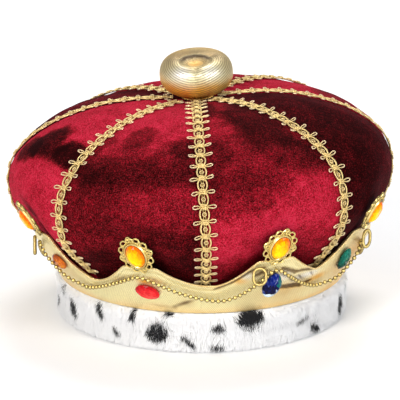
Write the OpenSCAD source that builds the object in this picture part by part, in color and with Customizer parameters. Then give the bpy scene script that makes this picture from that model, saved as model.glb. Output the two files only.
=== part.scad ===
// Jewelled crown: a puffed velvet cap of eight gores in a gold band on a fur trim.
// Millimetres, Z up, the front faces -Y. Azimuth runs from the front towards +X.

/* [Fur trim] */
// Outer radius of the fur trim
fur_outer_r = 106.5; // [100:0.5:112]
// Radius of the opening for the head
fur_inner_r = 95.5; // [88:0.5:98]
// Height of the fur trim
fur_h = 29.5; // [20:0.5:36]
// Rounding of the outer edges of the fur trim
fur_outer_round = 5; // [2:0.5:6]
// Rounding of the inner edges of the fur trim
fur_inner_round = 2.5; // [1:0.5:4]

/* [Gold band] */
// Radius of the lower edge of the band
band_foot_r = 105.6; // [102:0.1:108]
// Outward growth of the lower band per millimetre of height
band_flare = 0.56; // [0.3:0.01:0.7]
// Outward growth of the peaks per millimetre of height
peak_flare = 0.40; // [0.2:0.01:0.6]
// Height of the part of the band with the stronger flare
band_knee = 30; // [20:1:40]
// Thickness of the padded lame cloth
band_t = 2.2; // [1:0.1:4]
// Sections of the band between two peaks
band_steps = 12; // [8:1:20]

/* [Velvet cap] */
// Thickness of the velvet with its stiffener
velvet_t = 2.4; // [1:0.1:4]
// Rise of the cap per millimetre towards the right
cap_lean = 0.06; // [0:0.005:0.1]
// Sideways shift of the upper cap
cap_shift = 3.2; // [-6:0.1:6]
// Columns of facets across one gore
gore_cols = 8; // [4:1:12]

/* [Gimp braid] */
// Half width of the braid over its side loops
braid_half = 8; // [5:0.5:10]
// Half width of the braid between its side loops
braid_waist = 4.6; // [3:0.1:6]
// Gap between the braid and the curved velvet
braid_gap = 0.7; // [0.3:0.05:1]
// Thickness of the braid at its core
braid_t = 1.7; // [1:0.1:3]
// Thickness of the braid at its loops
braid_edge_t = 1; // [0.6:0.1:2]
// Length of one loop unit
braid_pitch = 10.5; // [8:0.1:12]
// Loop units of one braid
braid_units = 20; // [12:1:22]
// Distance along the seam from the crown centre to the first loop
braid_start = 7.5; // [7:0.5:24]

/* [Button] */
// Radius of the covered button
button_r = 26.6; // [20:0.1:32]
// Height of the covered button
button_h = 27.8; // [20:0.1:40]
// Share of the button height that lies below its widest ring
button_belly = 0.52; // [0.4:0.01:0.6]
// Power that fills out the side of the button, 1 for an ellipse and less for a fuller side
button_power = 0.83; // [0.6:0.01:1]
// Height of the underside of the button on the cap axis
button_z = 162.8; // [155:0.1:170]
// Distance of the button to the right of the cap axis
button_shift = 1.8; // [0:0.1:4]
// Tilt of the button towards the front
button_tilt = 8; // [0:1:20]
// Radius of the gathered neck under the button
neck_r = 12; // [8:0.5:14]
// Length of the gathered neck below the ball of the button
neck_drop = 3.0; // [1:0.1:9]
// Radius of the dimple in the top of the button
dimple_r = 14; // [8:0.5:16]
// Depth of the dimple
dimple_d = 3.0; // [1:0.1:6]
// Distance of the dimple in front of the button axis
dimple_forward = 9.5; // [0:0.5:10]

/* [Peak settings] */
// Width of a filigree plate
plate_w = 25; // [20:0.5:30]
// Height of a filigree plate
plate_h = 29.5; // [22:0.5:34]
// Thickness of a filigree plate
plate_t = 1.3; // [1:0.1:2]
// Width of the amber stone
amber_w = 13; // [10:0.5:16]
// Height of the amber stone
amber_h = 18; // [12:0.5:22]
// Depth of the amber stone
amber_d = 3.9; // [3:0.1:6]
// Height of the rim round the amber stone
rim_h = 2.9; // [2:0.1:4]
// Width of the rim round the amber stone
rim_w = 1.5; // [1:0.1:3]

/* [Chain and rings] */
// Radius of one ball of the chain
ball_r = 1.5; // [1.2:0.05:2]
// Distance between two balls along the chain
ball_pitch = 4.0; // [3.3:0.05:5]
// Radius of the thread through the balls
thread_r = 0.4; // [0.3:0.05:0.6]
// Radius of the hole through a ball
ball_hole_r = 0.9; // [0.6:0.05:1]
// Radius of the wire of a hanging ring
ring_wire_r = 1.3; // [1:0.1:2]
// Radius of the bends of a hanging ring
ring_bend_r = 4.3; // [3:0.1:6]
// Straight length of a hanging ring
ring_straight = 3.4; // [0:0.1:6]

/* [Fit] */
// Gap between two pieces that touch
gap = 0.35; // [0.2:0.05:0.6]
// Segments of one round edge
round_fn = 48; // [24:4:96]

/* [Hidden] */
seam_count = 8;
band_foot_z = fur_h + gap;
lean_from_z = 31;
lean_over = 60;
flare_angle = atan(band_flare);
wire_fn = 16;
bend_fn = 32;
rim_fn = 32;

// Rows of the cap from the centre down to the fur trim.
SEAM_R = 0;
SEAM_Z = 1;
SEAM_PUFF = 2;
SEAM_DENT = 3;
// radius, height, puff between two seams, share of the dent behind a peak
SEAM = [
  [9.0, 159.2, 0.0, 0.00],
  [27.0, 159.8, 0.4, 0.00],
  [46.0, 160.2, 1.0, 0.00],
  [68.0, 158.1, 1.8, 0.00],
  [89.0, 152.8, 2.8, 0.00],
  [108.4, 145.0, 4.0, 0.00],
  [124.0, 134.8, 4.8, 0.05],
  [134.8, 122.6, 4.8, 0.15],
  [139.2, 109.8, 4.0, 0.42],
  [139.4, 98.0, 2.4, 0.80],
  [137.2, 86.6, 0.8, 1.00],
  [130.5, 75.0, -0.4, 1.00],
  [119.5, 63.2, -0.8, 0.80],
  [108.4, 50.4, -0.8, 0.40],
  [99.4, 30.1, 0.0, 0.00],
];
SEAM_ROWS = len(SEAM);

// Gores from the front seam clockwise seen from below: puff factor, dent behind the peak
GORE_PUFF = 0;
GORE_DENT = 1;
GORES = [
  [1.00, 8.0],
  [0.90, 4.5],
  [0.10, 4.0],
  [0.60, 5.5],
  [0.20, 8.5],
  [0.30, 10.0],
  [0.90, 11.5],
  [1.05, 10.0],
];
dent_width = 0.6;
sag_rows = SEAM_ROWS - 3;

// Azimuth of each seam and its sag at mid height
SEAM_AZ = [1.5, 45.6, 90.6, 135.8, 181.0, 225.6, 270.4, 315.6];
SEAM_SAG = [0, 0, 0, 0, 0.5, 3.2, 0.8, 2.4];

// Peaks of the band from front right round to front left
PEAK_AZ = 0;
PEAK_TOP = 1;
PEAK_PLATE_Z = 2;
PEAK_PLATE_R = 3;
PEAK_LEAN = 4;
PEAK_TILT = 5;
PEAK_WIDE = 6;
// azimuth, cloth height, height and radius of the plate centre, lean, tilt, half width in degrees
PEAKS = [
  [24.0, 75.0, 84.4, 132.3, 19, -14, 5.0],
  [62.0, 82.0, 93.2, 137.6, 26, -8, 5.0],
  [112.5, 80.0, 89.3, 136.2, 26, 0, 5.0],
  [157.5, 77.0, 86.5, 134.6, 24, 6, 5.0],
  [202.5, 75.5, 85.0, 134.0, 24, -5, 5.0],
  [247.5, 75.0, 84.3, 134.3, 26, 0, 5.0],
  [295.6, 77.0, 85.8, 136.2, 31, 8, 4.5],
  [339.8, 70.0, 78.8, 130.1, 18, 19, 4.5],
];

// Low points of a scalloped line between two peaks
LOW_AZ = 0;
LOW_Z = 1;
LOW_BEFORE = 2;
LOW_AFTER = 3;
// Edge of the band: azimuth, height, power of the rise before and after the low point
VALLEYS = [
  [4.5, 54.3, 2.2, 1.6],
  [42.0, 58.0, 1.4, 1.4],
  [90.0, 56.0, 1.6, 1.6],
  [135.0, 55.0, 1.6, 1.6],
  [181.0, 53.5, 1.6, 1.6],
  [225.0, 51.5, 1.6, 1.6],
  [271.0, 50.5, 1.6, 1.6],
  [319.0, 49.3, 1.5, 1.9],
];

// Swags of the chain: azimuth, height, power of the rise before and after the low point
SWAGS = [
  [6.5, 41.6, 1.6, 1.9],
  [46.5, 42.4, 1.65, 2.2],
  [89.0, 43.6, 1.9, 1.7],
  [134.5, 42.8, 1.7, 1.8],
  [180.0, 42.2, 1.7, 1.7],
  [226.0, 41.2, 1.8, 1.7],
  [270.0, 41.0, 1.8, 1.9],
  [314.5, 40.6, 1.9, 1.3],
];

// Height of the chain at each peak
CHAIN_TOP = [67.6, 72.0, 71.5, 69.0, 67.5, 67.0, 69.5, 61.6];

// Soft bumps of the band and the chain over it
BUMP_AZ = 0;
BUMP_WIDE = 1;
BUMP_OUT = 2;
// Folds pressed into the band: azimuth, width, height of the fold
FOLDS = [
  [11.5, 5.0, -1.6],
  [29.0, 4.0, 1.3],
  [36.0, 4.5, -1.5],
  [352.5, 4.0, -1.0],
];

// Lifts of the chain where it lies over a stone: azimuth, width, lift
CHAIN_LIFTS = [
  [55.5, 5.8, 4.6],
  [302.5, 6.8, 3.7],
];

// Stones on the band: azimuth, height, width, length, tilt, depth, lean, lift off the cloth
STONE_AZ = 0;
STONE_Z = 1;
STONE_W = 2;
STONE_H = 3;
STONE_TILT = 4;
STONE_DEPTH = 5;
STONE_LEAN = 6;
STONE_LIFT = 7;
RED_1 = [341.1, 47.6, 18, 13, -14, 3.4, 29, 0.7];
BLUE_1 = [23.8, 53.2, 15, 20.5, -12, 4.2, 19, 2.6];
GREEN_1 = [55.5, 59.0, 12, 19, 4, 3.4, 27, 0.9];
ORANGE_1 = [303.0, 55.4, 17, 13, 10, 3.0, 29, 0.8];
RED_2 = [112.5, 58.0, 18, 13, 0, 3.4, 29, 0.8];
BLUE_2 = [157.5, 54.6, 15, 21, 4, 4.2, 28, 1.0];
GREEN_2 = [202.5, 54.4, 13, 18, 0, 3.4, 29, 0.8];
ORANGE_2 = [247.5, 53.5, 17, 13, 0, 3.4, 29, 0.8];
stone_sides = 12;
table_share = 0.58;
girdle_share = 0.32;
foot_share = 0.96;
pear_taper = 0.42;
pear_power = 1.6;

// Hanging rings: azimuth, height of the ring centre, radius, turn about the vertical
HANG_AZ = 0;
HANG_Z = 1;
HANG_R = 2;
HANG_TURN = 3;
RING_1 = [18.4, 62.2, 127.9, -10];
RING_2 = [62.0, 71.4, 133.6, -9];
RING_3 = [112.5, 68.1, 132.8, 15];
RING_4 = [157.5, 65.1, 131.8, -20];
RING_5 = [202.5, 64.1, 131.2, 18];
RING_6 = [247.5, 63.1, 131.0, -15];
RING_7 = [296.0, 65.1, 132.9, -25];

velvet_color = [0.62, 0.04, 0.16];
lame_color = [0.86, 0.70, 0.42];
gimp_color = [0.82, 0.66, 0.36];
ermine_color = [0.96, 0.96, 0.95];
gilt_color = [0.80, 0.66, 0.28];
amber_color = [0.98, 0.60, 0.08];
red_color = [0.86, 0.14, 0.16];
blue_color = [0.08, 0.14, 0.62];
green_color = [0.05, 0.45, 0.25];
orange_color = [0.92, 0.38, 0.10];

// Helpers

function polar(r, az, z) = [r * sin(az), -r * cos(az), z];
function mix(a, b, t) = a + (b - a) * t;
function clamp01(v) = min(1, max(0, v));
function turn(az) = az - 360 * floor(az / 360);
function apart(a, b) = min(turn(a - b), turn(b - a));
function bell(v) = exp(-v * v);
function flat_bell(v) = exp(-pow(v, 4));

// The upper cap rises to the right and is shifted to the left
function lean_share(z) = clamp01((z - lean_from_z) / lean_over);
function lean_x(z) = cap_shift * lean_share(z) - cap_lean * (z - lean_from_z);
function leaned(p) = [
  p.x + lean_x(p.z),
  p.y,
  p.z + cap_lean * p.x * lean_share(p.z),
];

// A closed skin over sections of equal length; outer points first, inner points back again
module shell_skin(rows, closed = false) {
  m = len(rows);
  n = len(rows[0]);
  last = closed ? m - 1 : m - 2;
  sides = [
    for (i = [0 : last]) for (j = [0 : n - 1])
      let (k = (i + 1) % m, l = (j + 1) % n)
      each [[i * n + j, k * n + l, i * n + l], [i * n + j, k * n + j, k * n + l]]
  ];
  half = n / 2;
  caps = closed ? [] : [
    for (j = [0 : half - 2]) each [
      [j, j + 1, n - 2 - j],
      [j, n - 2 - j, n - 1 - j],
      [(m - 1) * n + j, (m - 1) * n + n - 2 - j, (m - 1) * n + j + 1],
      [(m - 1) * n + j, (m - 1) * n + n - 1 - j, (m - 1) * n + n - 2 - j],
    ]
  ];
  polyhedron([for (row = rows) each row], concat(sides, caps), convexity = 8);
}

// A solid over flat outlines stacked one above the other
module stack_skin(rows) {
  m = len(rows);
  n = len(rows[0]);
  sides = [
    for (i = [0 : m - 2]) for (j = [0 : n - 1])
      let (l = (j + 1) % n)
      each [[i * n + j, (i + 1) * n + l, i * n + l], [i * n + j, (i + 1) * n + j, (i + 1) * n + l]]
  ];
  foot = [for (j = [0 : n - 1]) j];
  head = [for (j = [0 : n - 1]) (m - 1) * n + (n - 1 - j)];
  polyhedron([for (row = rows) each row], concat(sides, [foot, head]), convexity = 4);
}

// Puts a flat piece on a ring: local X runs along the ring, Y up, Z outwards
module on_ring(az, r, z, lean, tilt) {
  translate(polar(r, az, z))
    rotate([0, 0, az])
      rotate([90 + lean, 0, 0])
        rotate([0, 0, tilt])
          children();
}

// Velvet cap

function seam_row(i) = SEAM[min(SEAM_ROWS - 1, max(0, i))];
function seam_normal(i) =
  let (
    a = seam_row(i - 1),
    b = seam_row(i + 1),
    dr = b[SEAM_R] - a[SEAM_R],
    dz = b[SEAM_Z] - a[SEAM_Z],
    l = norm([dr, dz])
  ) [-dz / l, dr / l];

function gore_span(g) = turn(SEAM_AZ[(g + 1) % seam_count] - SEAM_AZ[g]);
function gore_at(az) = [for (g = [0 : seam_count - 1]) if (turn(az - SEAM_AZ[g]) < gore_span(g)) g][0];
function gore_share(g, az) = turn(az - SEAM_AZ[g]) / gore_span(g);

function cap_bulge(i, az) =
  let (
    g = gore_at(az),
    u = 2 * gore_share(g, az) - 1,
    puff = SEAM[i][SEAM_PUFF] * GORES[g][GORE_PUFF] * (1 - u * u),
    dent = SEAM[i][SEAM_DENT] * GORES[g][GORE_DENT] * bell(u / dent_width)
  ) puff - dent;

function cap_sag(i, az) =
  let (
    g = gore_at(az),
    sag = mix(SEAM_SAG[g], SEAM_SAG[(g + 1) % seam_count], gore_share(g, az))
  ) sag * sin(180 * clamp01(i / sag_rows));

// Point of the cap surface on row i, moved outwards by off
function cap_point(i, az, off) =
  let (
    nrm = seam_normal(i),
    d = cap_bulge(i, az) + off,
    r = SEAM[i][SEAM_R] + d * nrm[0],
    z = SEAM[i][SEAM_Z] + d * nrm[1] - cap_sag(i, az)
  ) leaned(polar(r, az, z));

module gore(g) {
  half = gore_span(g) / 2;
  mid = SEAM_AZ[g] + half;
  rows = [
    for (i = [0 : SEAM_ROWS - 1])
      let (
        reach = half - (gap / 2) / SEAM[i][SEAM_R] * 180 / PI,
        azs = [for (j = [0 : gore_cols]) mid + reach * (2 * j / gore_cols - 1)]
      )
      concat(
        [for (j = [0 : gore_cols]) cap_point(i, azs[j], 0)],
        [for (j = [gore_cols : -1 : 0]) cap_point(i, azs[j], -velvet_t)]
      )
  ];
  color(velvet_color) shell_skin(rows);
}

// Gimp braid

function seam_step_length(i) =
  norm([SEAM[i + 1][SEAM_R] - SEAM[i][SEAM_R], SEAM[i + 1][SEAM_Z] - SEAM[i][SEAM_Z]]);
SEAM_LENGTH = [
  for (i = 0, s = 0; i < SEAM_ROWS; s = s + (i < SEAM_ROWS - 1 ? seam_step_length(i) : 0), i = i + 1) s
];
function row_at(s, i = 0) = (i >= SEAM_ROWS - 2 || SEAM_LENGTH[i + 1] > s) ? i : row_at(s, i + 1);

// Point beside a seam: distance along it, sideways distance, lift off the velvet
function braid_point(seam_az, s, side, off) =
  let (
    i = row_at(s),
    t = (s - SEAM_LENGTH[i]) / (SEAM_LENGTH[i + 1] - SEAM_LENGTH[i]),
    r = mix(SEAM[i][SEAM_R], SEAM[i + 1][SEAM_R], t),
    az = seam_az + side / r * 180 / PI
  ) mix(cap_point(i, az, off), cap_point(i + 1, az, off), t);

module braid(k) {
  az = SEAM_AZ[k];
  top = braid_gap + braid_t;
  edge = braid_gap + braid_edge_t;
  rows = [
    for (j = [0 : 2 * braid_units])
      let (
        s = braid_start + j * braid_pitch / 2,
        w = j % 2 == 0 ? braid_waist : braid_half
      ) [
        braid_point(az, s, -w, edge),
        braid_point(az, s, 0, top),
        braid_point(az, s, w, edge),
        braid_point(az, s, w, braid_gap),
        braid_point(az, s, 0, braid_gap),
        braid_point(az, s, -w, braid_gap),
      ]
  ];
  color(gimp_color) shell_skin(rows);
}

// Covered button

function filled(share) = pow(share, button_power);
module button_ball(low, high) {
  foot_r = 8;
  foot_angle = acos(pow(foot_r / button_r, 1 / button_power));
  side_rings = 8;
  outline = concat(
    [[0, -low * filled(sin(foot_angle))]],
    [
      for (i = [0 : side_rings])
        let (a = foot_angle * (1 - i / side_rings))
        [button_r * filled(cos(a)), -low * filled(sin(a))]
    ],
    [
      for (i = [1 : side_rings])
        let (a = 90 * i / side_rings)
        [mix(dimple_r, button_r, filled(cos(a))), high * filled(sin(a))]
    ],
    [[0, high]]
  );
  rotate_extrude($fn = round_fn)
    polygon(outline);
}
module dimple_bowl() {
  bowl_rings = 5;
  over = 0.1;
  clear = 3;
  outline = concat(
    [
      for (i = [0 : bowl_rings])
        let (t = i / bowl_rings)
        [dimple_r * t, over - (dimple_d + over) * (1 + cos(180 * t)) / 2]
    ],
    [[dimple_r, clear], [0, clear]]
  );
  rotate_extrude($fn = round_fn)
    polygon(outline);
}
module top_button() {
  neck_in = 7;
  low = button_h * button_belly;
  high = button_h - low;
  color(lame_color)
    translate([lean_x(button_z) + button_shift, 0, button_z])
      rotate([0, -atan(cap_lean), 0])
        union() {
          translate([0, 0, low])
            rotate([button_tilt, 0, 0])
              difference() {
                button_ball(low, high);
                translate([0, -dimple_forward, high])
                  dimple_bowl();
              }
          translate([0, 0, -neck_drop])
            cylinder(h = neck_drop + neck_in, r = neck_r, $fn = wire_fn * 2);
        }
}

// Fur trim

function corner(cx, cz, r, from, to, n) =
  [for (i = [0 : n]) let (a = mix(from, to, i / n)) [cx + r * cos(a), cz + r * sin(a)]];

module fur_trim() {
  ro = fur_outer_round;
  ri = fur_inner_round;
  outer_steps = 5;
  inner_steps = 3;
  outline = concat(
    corner(fur_outer_r - ro, ro, ro, -90, 0, outer_steps),
    corner(fur_outer_r - ro, fur_h - ro, ro, 0, 90, outer_steps),
    corner(fur_inner_r + ri, fur_h - ri, ri, 90, 180, inner_steps),
    corner(fur_inner_r + ri, ri, ri, 180, 270, inner_steps)
  );
  color(ermine_color)
    rotate_extrude($fn = round_fn)
      polygon(outline);
}

// Gold band

// Share of the rise from a low point to a peak, rounded off close to the peak
round_from = 0.88;
function rise(share, power) =
  let (t = clamp01((share - round_from) / (1 - round_from)))
  pow(share, power) - power * (1 - round_from) / 2 * t * t;

// Height of a scalloped line between two peaks; wide is 1 where the line is flat across a peak
function scallop(az, lows, tops, wide) =
  let (
    spans = [
      for (k = [0 : seam_count - 1])
        let (
          before = PEAKS[(k + seam_count - 1) % seam_count][PEAK_AZ],
          after = PEAKS[k][PEAK_AZ],
          run = turn(after - before),
          at = turn(az - before)
        )
        if (at < run) [k, before, run, at]
    ],
    k = spans[0][0],
    before = spans[0][1],
    run = spans[0][2],
    at = spans[0][3],
    low_at = turn(lows[k][LOW_AZ] - before),
    low = lows[k][LOW_Z],
    j = (k + seam_count - 1) % seam_count,
    flat_before = wide * PEAKS[j][PEAK_WIDE],
    flat_after = wide * PEAKS[k][PEAK_WIDE]
  )
  at < low_at
    ? low + (tops[j] - low) * rise(clamp01((low_at - at) / (low_at - flat_before)), lows[k][LOW_BEFORE])
    : low + (tops[k] - low) * rise(clamp01((at - low_at) / (run - flat_after - low_at)), lows[k][LOW_AFTER]);

BAND_TOP = [for (p = PEAKS) p[PEAK_TOP]];
function band_top(az) = scallop(az, VALLEYS, BAND_TOP, 1);
function bumps(table, az) = [for (b = table) b[BUMP_OUT] * bell(apart(az, b[BUMP_AZ]) / b[BUMP_WIDE])];
function band_fold(az) = bumps(FOLDS, az) * [for (f = FOLDS) 1];
function band_r(z) =
  let (h = z - band_foot_z)
  band_foot_r + band_flare * min(h, band_knee) + peak_flare * max(0, h - band_knee);

// The band has a middle row between its foot and its edge; a fold is deepest there
tall_from = 78;
mid_share = 0.6;
tall_mid_share = 0.5;
edge_fold_share = 0.4;
function band_section(az) =
  let (
    top = band_top(az),
    mid = mix(band_foot_z, top, top > tall_from ? tall_mid_share : mid_share),
    zs = [band_foot_z, mid, top],
    fold = [0, band_fold(az), edge_fold_share * band_fold(az)]
  )
  concat(
    [for (i = [0 : 2]) polar(band_r(zs[i]) + fold[i], az, zs[i])],
    [for (i = [2 : -1 : 0]) polar(band_r(zs[i]) + fold[i] - band_t, az, zs[i])]
  );

module band() {
  azs = [
    for (k = [0 : seam_count - 1])
      let (
        a = PEAKS[k][PEAK_AZ],
        run = turn(PEAKS[(k + 1) % seam_count][PEAK_AZ] - a)
      )
      for (j = [0 : band_steps - 1]) a + run * j / band_steps
  ];
  color(lame_color) shell_skin([for (az = azs) band_section(az)], closed = true);
}

// Settings and stones

function oval(w, h, n) = [for (i = [0 : n - 1]) let (a = 360 * i / n) [w / 2 * cos(a), h / 2 * sin(a)]];
function pear_half(a) = 1 - pear_taper * pow(clamp01(sin(a)), pear_power);
function pear(w, h, n) =
  [for (i = [0 : n - 1]) let (a = 360 * i / n) [w / 2 * cos(a) * pear_half(a), h / 2 * sin(a)]];
function scaled_row(pts, s, z) = [for (p = pts) [p.x * s, p.y * s, z]];

// Scalloped outline of the filigree: a lobe round each hole, every third one with a point
hole_count = 12;
notch_share = 0.09;
tip_share = 0.06;
tip_power = 24;
function lobed(w, h, n) = [
  for (i = [0 : n - 1])
    let (
      a = 360 * i / n,
      lobe = 1 - notch_share * (1 - abs(cos(hole_count / 2 * a))),
      tip = tip_share * pow(abs(cos(2 * a)), tip_power)
    ) [w / 2 * (lobe + tip) * cos(a), h / 2 * (lobe + tip) * sin(a)]
];

module cut_stone(outline, depth) {
  stack_skin([
    scaled_row(outline, foot_share, 0),
    scaled_row(outline, 1, depth * girdle_share),
    scaled_row(outline, table_share, depth),
  ]);
}

module setting_plate() {
  hole_w = 2.5;
  hole_h = 3.2;
  small_hole = 1.4;
  seat_w = amber_w + 2 * gap;
  seat_h = amber_h + 2 * gap;
  ring_w = (plate_w + seat_w) / 4 + rim_w / 2;
  ring_h = (plate_h + seat_h) / 4 + rim_w / 2;
  outline_points = 72;
  hole_points = 8;
  linear_extrude(plate_t)
    difference() {
      polygon(lobed(plate_w, plate_h, outline_points));
      for (i = [0 : hole_count - 1]) {
        a = 360 * i / hole_count;
        small = i % 3 == 0;
        translate([ring_w * cos(a), ring_h * sin(a)])
          rotate(a)
            polygon(oval(small ? small_hole : hole_w, small ? small_hole : hole_h, hole_points));
      }
    }
  translate([0, 0, plate_t / 2])
    linear_extrude(rim_h - plate_t / 2)
      difference() {
        polygon(oval(seat_w + 2 * rim_w, seat_h + 2 * rim_w, rim_fn));
        polygon(oval(seat_w, seat_h, rim_fn));
      }
}

module at_peak(k) {
  p = PEAKS[k];
  on_ring(p[PEAK_AZ], p[PEAK_PLATE_R], p[PEAK_PLATE_Z], p[PEAK_LEAN], p[PEAK_TILT]) children();
}

module setting(k) {
  color(gilt_color) at_peak(k) setting_plate();
}

module amber(k) {
  color(amber_color)
    at_peak(k)
      translate([0, 0, plate_t + gap])
        cut_stone(oval(amber_w, amber_h, stone_sides), amber_d);
}

module on_band(s) {
  r = band_r(s[STONE_Z]) + s[STONE_LIFT];
  on_ring(s[STONE_AZ], r, s[STONE_Z], s[STONE_LEAN], s[STONE_TILT])
    children();
}

module oval_stone(s, tint) {
  color(tint) on_band(s) cut_stone(oval(s[STONE_W], s[STONE_H], stone_sides), s[STONE_DEPTH]);
}

module pear_stone(s, tint) {
  color(tint) on_band(s) cut_stone(pear(s[STONE_W], s[STONE_H], stone_sides), s[STONE_DEPTH]);
}

// Ball chain

chain_slack = 0.3;
chain_lift = (ball_r + gap) / cos(flare_angle) + chain_slack;
function chain_z(az) = scallop(az, SWAGS, CHAIN_TOP, 0);
function chain_rise(az) =
  max(0, band_fold(az))
  + max([for (b = CHAIN_LIFTS) b[BUMP_OUT] * flat_bell(apart(az, b[BUMP_AZ]) / b[BUMP_WIDE])]);
function chain_point(az) =
  let (z = chain_z(az)) polar(band_r(z) + chain_lift + chain_rise(az), az, z);

chain_samples = 720;
chain_step = 360 / chain_samples;
CHAIN_PATH = [for (i = [0 : chain_samples]) chain_point(chain_step * i)];
CHAIN_LENGTH = [
  for (i = 0, s = 0;
       i <= chain_samples;
       s = s + (i < chain_samples ? norm(CHAIN_PATH[i + 1] - CHAIN_PATH[i]) : 0), i = i + 1) s
];
chain_total = CHAIN_LENGTH[chain_samples];
ball_count = 2 * floor(chain_total / ball_pitch / 2);
function chain_az(s) = lookup(s, [for (i = [0 : chain_samples]) [CHAIN_LENGTH[i], chain_step * i]]);
BALL_AZ = [for (i = [0 : ball_count - 1]) chain_az(chain_total * i / ball_count)];
BALLS = [for (az = BALL_AZ) chain_point(az)];

// Turns local Z into the direction d
module along(p, d) {
  translate(p)
    rotate([0, atan2(norm([d.x, d.y]), d.z), atan2(d.y, d.x)])
      children();
}

function ball_next(i) = BALLS[(i + 1) % ball_count];
function ball_before(i) = BALLS[(i + ball_count - 1) % ball_count];

module bead_chain() {
  color(gilt_color)
    for (i = [0 : ball_count - 1])
      along(BALLS[i], ball_next(i) - ball_before(i))
        difference() {
          sphere(r = ball_r, $fn = wire_fn);
          cylinder(h = 3 * ball_r, r = ball_hole_r, center = true, $fn = wire_fn);
        }
}

// Ring of the thread: five points round the path
thread_sides = 5;
function thread_ring(i, az) =
  let (
    p = BALLS[i],
    d = ball_next(i) - ball_before(i),
    t = d / norm(d),
    o = [sin(az), -cos(az), 0],
    b = cross(t, o) / norm(cross(t, o)),
    c = cross(b, t)
  )
  [
    for (k = [0 : thread_sides - 1])
      let (w = 360 * k / thread_sides)
      p + thread_r * (cos(w) * b + sin(w) * c)
  ];

// The thread has a ring at every ball where the chain bends sharply, and at every second elsewhere
peak_bend = 5;
low_bend = 2;
function bends(az) =
  min([for (p = PEAKS) apart(az, p[PEAK_AZ])]) < peak_bend
  || min([for (w = SWAGS) apart(az, w[LOW_AZ])]) < low_bend;

module chain_thread() {
  color(gilt_color)
    shell_skin(
      [
        for (i = [0 : ball_count - 1])
          if (i % 2 == 0 || bends(BALL_AZ[i])) thread_ring(i, BALL_AZ[i])
      ],
      closed = true
    );
}

// Hanging rings

module half_ring() {
  rotate_extrude(angle = 180, $fn = bend_fn)
    translate([ring_bend_r, 0])
      circle(r = ring_wire_r, $fn = wire_fn);
}

module hanging_ring(h) {
  color(gilt_color)
    translate(polar(h[HANG_R], h[HANG_AZ], h[HANG_Z]))
      rotate([0, 0, h[HANG_AZ] + h[HANG_TURN]])
        rotate([90, 0, 0]) {
          translate([0, ring_straight / 2, 0])
            half_ring();
          translate([0, -ring_straight / 2, 0])
            rotate([0, 0, 180])
              half_ring();
          for (side = [-1, 1])
            translate([side * ring_bend_r, 0, 0])
              rotate([90, 0, 0])
                cylinder(h = ring_straight, r = ring_wire_r, center = true, $fn = wire_fn);
        }
}

fur_trim();
band();
gore(0);  // gore_1
gore(1);  // gore_2
gore(2);  // gore_3
gore(3);  // gore_4
gore(4);  // gore_5
gore(5);  // gore_6
gore(6);  // gore_7
gore(7);  // gore_8
braid(0);  // braid_1
braid(1);  // braid_2
braid(2);  // braid_3
braid(3);  // braid_4
braid(4);  // braid_5
braid(5);  // braid_6
braid(6);  // braid_7
braid(7);  // braid_8
top_button();
setting(0);  // setting_1
setting(1);  // setting_2
setting(2);  // setting_3
setting(3);  // setting_4
setting(4);  // setting_5
setting(5);  // setting_6
setting(6);  // setting_7
setting(7);  // setting_8
amber(0);  // amber_1
amber(1);  // amber_2
amber(2);  // amber_3
amber(3);  // amber_4
amber(4);  // amber_5
amber(5);  // amber_6
amber(6);  // amber_7
amber(7);  // amber_8
oval_stone(RED_1, red_color);  // red_oval_1
oval_stone(RED_2, red_color);  // red_oval_2
pear_stone(BLUE_1, blue_color);  // blue_pear_1
pear_stone(BLUE_2, blue_color);  // blue_pear_2
oval_stone(GREEN_1, green_color);  // green_oval_1
oval_stone(GREEN_2, green_color);  // green_oval_2
oval_stone(ORANGE_1, orange_color);  // orange_oval_1
oval_stone(ORANGE_2, orange_color);  // orange_oval_2
bead_chain();
chain_thread();
hanging_ring(RING_1);  // hanging_ring_1
hanging_ring(RING_2);  // hanging_ring_2
hanging_ring(RING_3);  // hanging_ring_3
hanging_ring(RING_4);  // hanging_ring_4
hanging_ring(RING_5);  // hanging_ring_5
hanging_ring(RING_6);  // hanging_ring_6
hanging_ring(RING_7);  // hanging_ring_7
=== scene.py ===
import math

import bpy
import numpy as np
from mathutils import Matrix, Vector, noise


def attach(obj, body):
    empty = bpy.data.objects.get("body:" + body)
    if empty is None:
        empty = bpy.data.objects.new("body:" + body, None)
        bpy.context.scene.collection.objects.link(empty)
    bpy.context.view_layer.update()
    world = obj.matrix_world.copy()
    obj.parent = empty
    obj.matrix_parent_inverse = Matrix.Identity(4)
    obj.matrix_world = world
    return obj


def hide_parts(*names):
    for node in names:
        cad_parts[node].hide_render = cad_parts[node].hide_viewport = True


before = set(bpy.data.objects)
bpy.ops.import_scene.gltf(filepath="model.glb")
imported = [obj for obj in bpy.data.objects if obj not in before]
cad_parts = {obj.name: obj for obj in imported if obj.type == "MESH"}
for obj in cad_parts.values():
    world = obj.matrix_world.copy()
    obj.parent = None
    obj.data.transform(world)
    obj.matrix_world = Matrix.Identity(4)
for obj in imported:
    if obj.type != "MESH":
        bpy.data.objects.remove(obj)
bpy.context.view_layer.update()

MM = 0.001
FULL = 360.0
DEG = math.radians(1)
SEED = 11

# Sizes of the source

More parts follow.
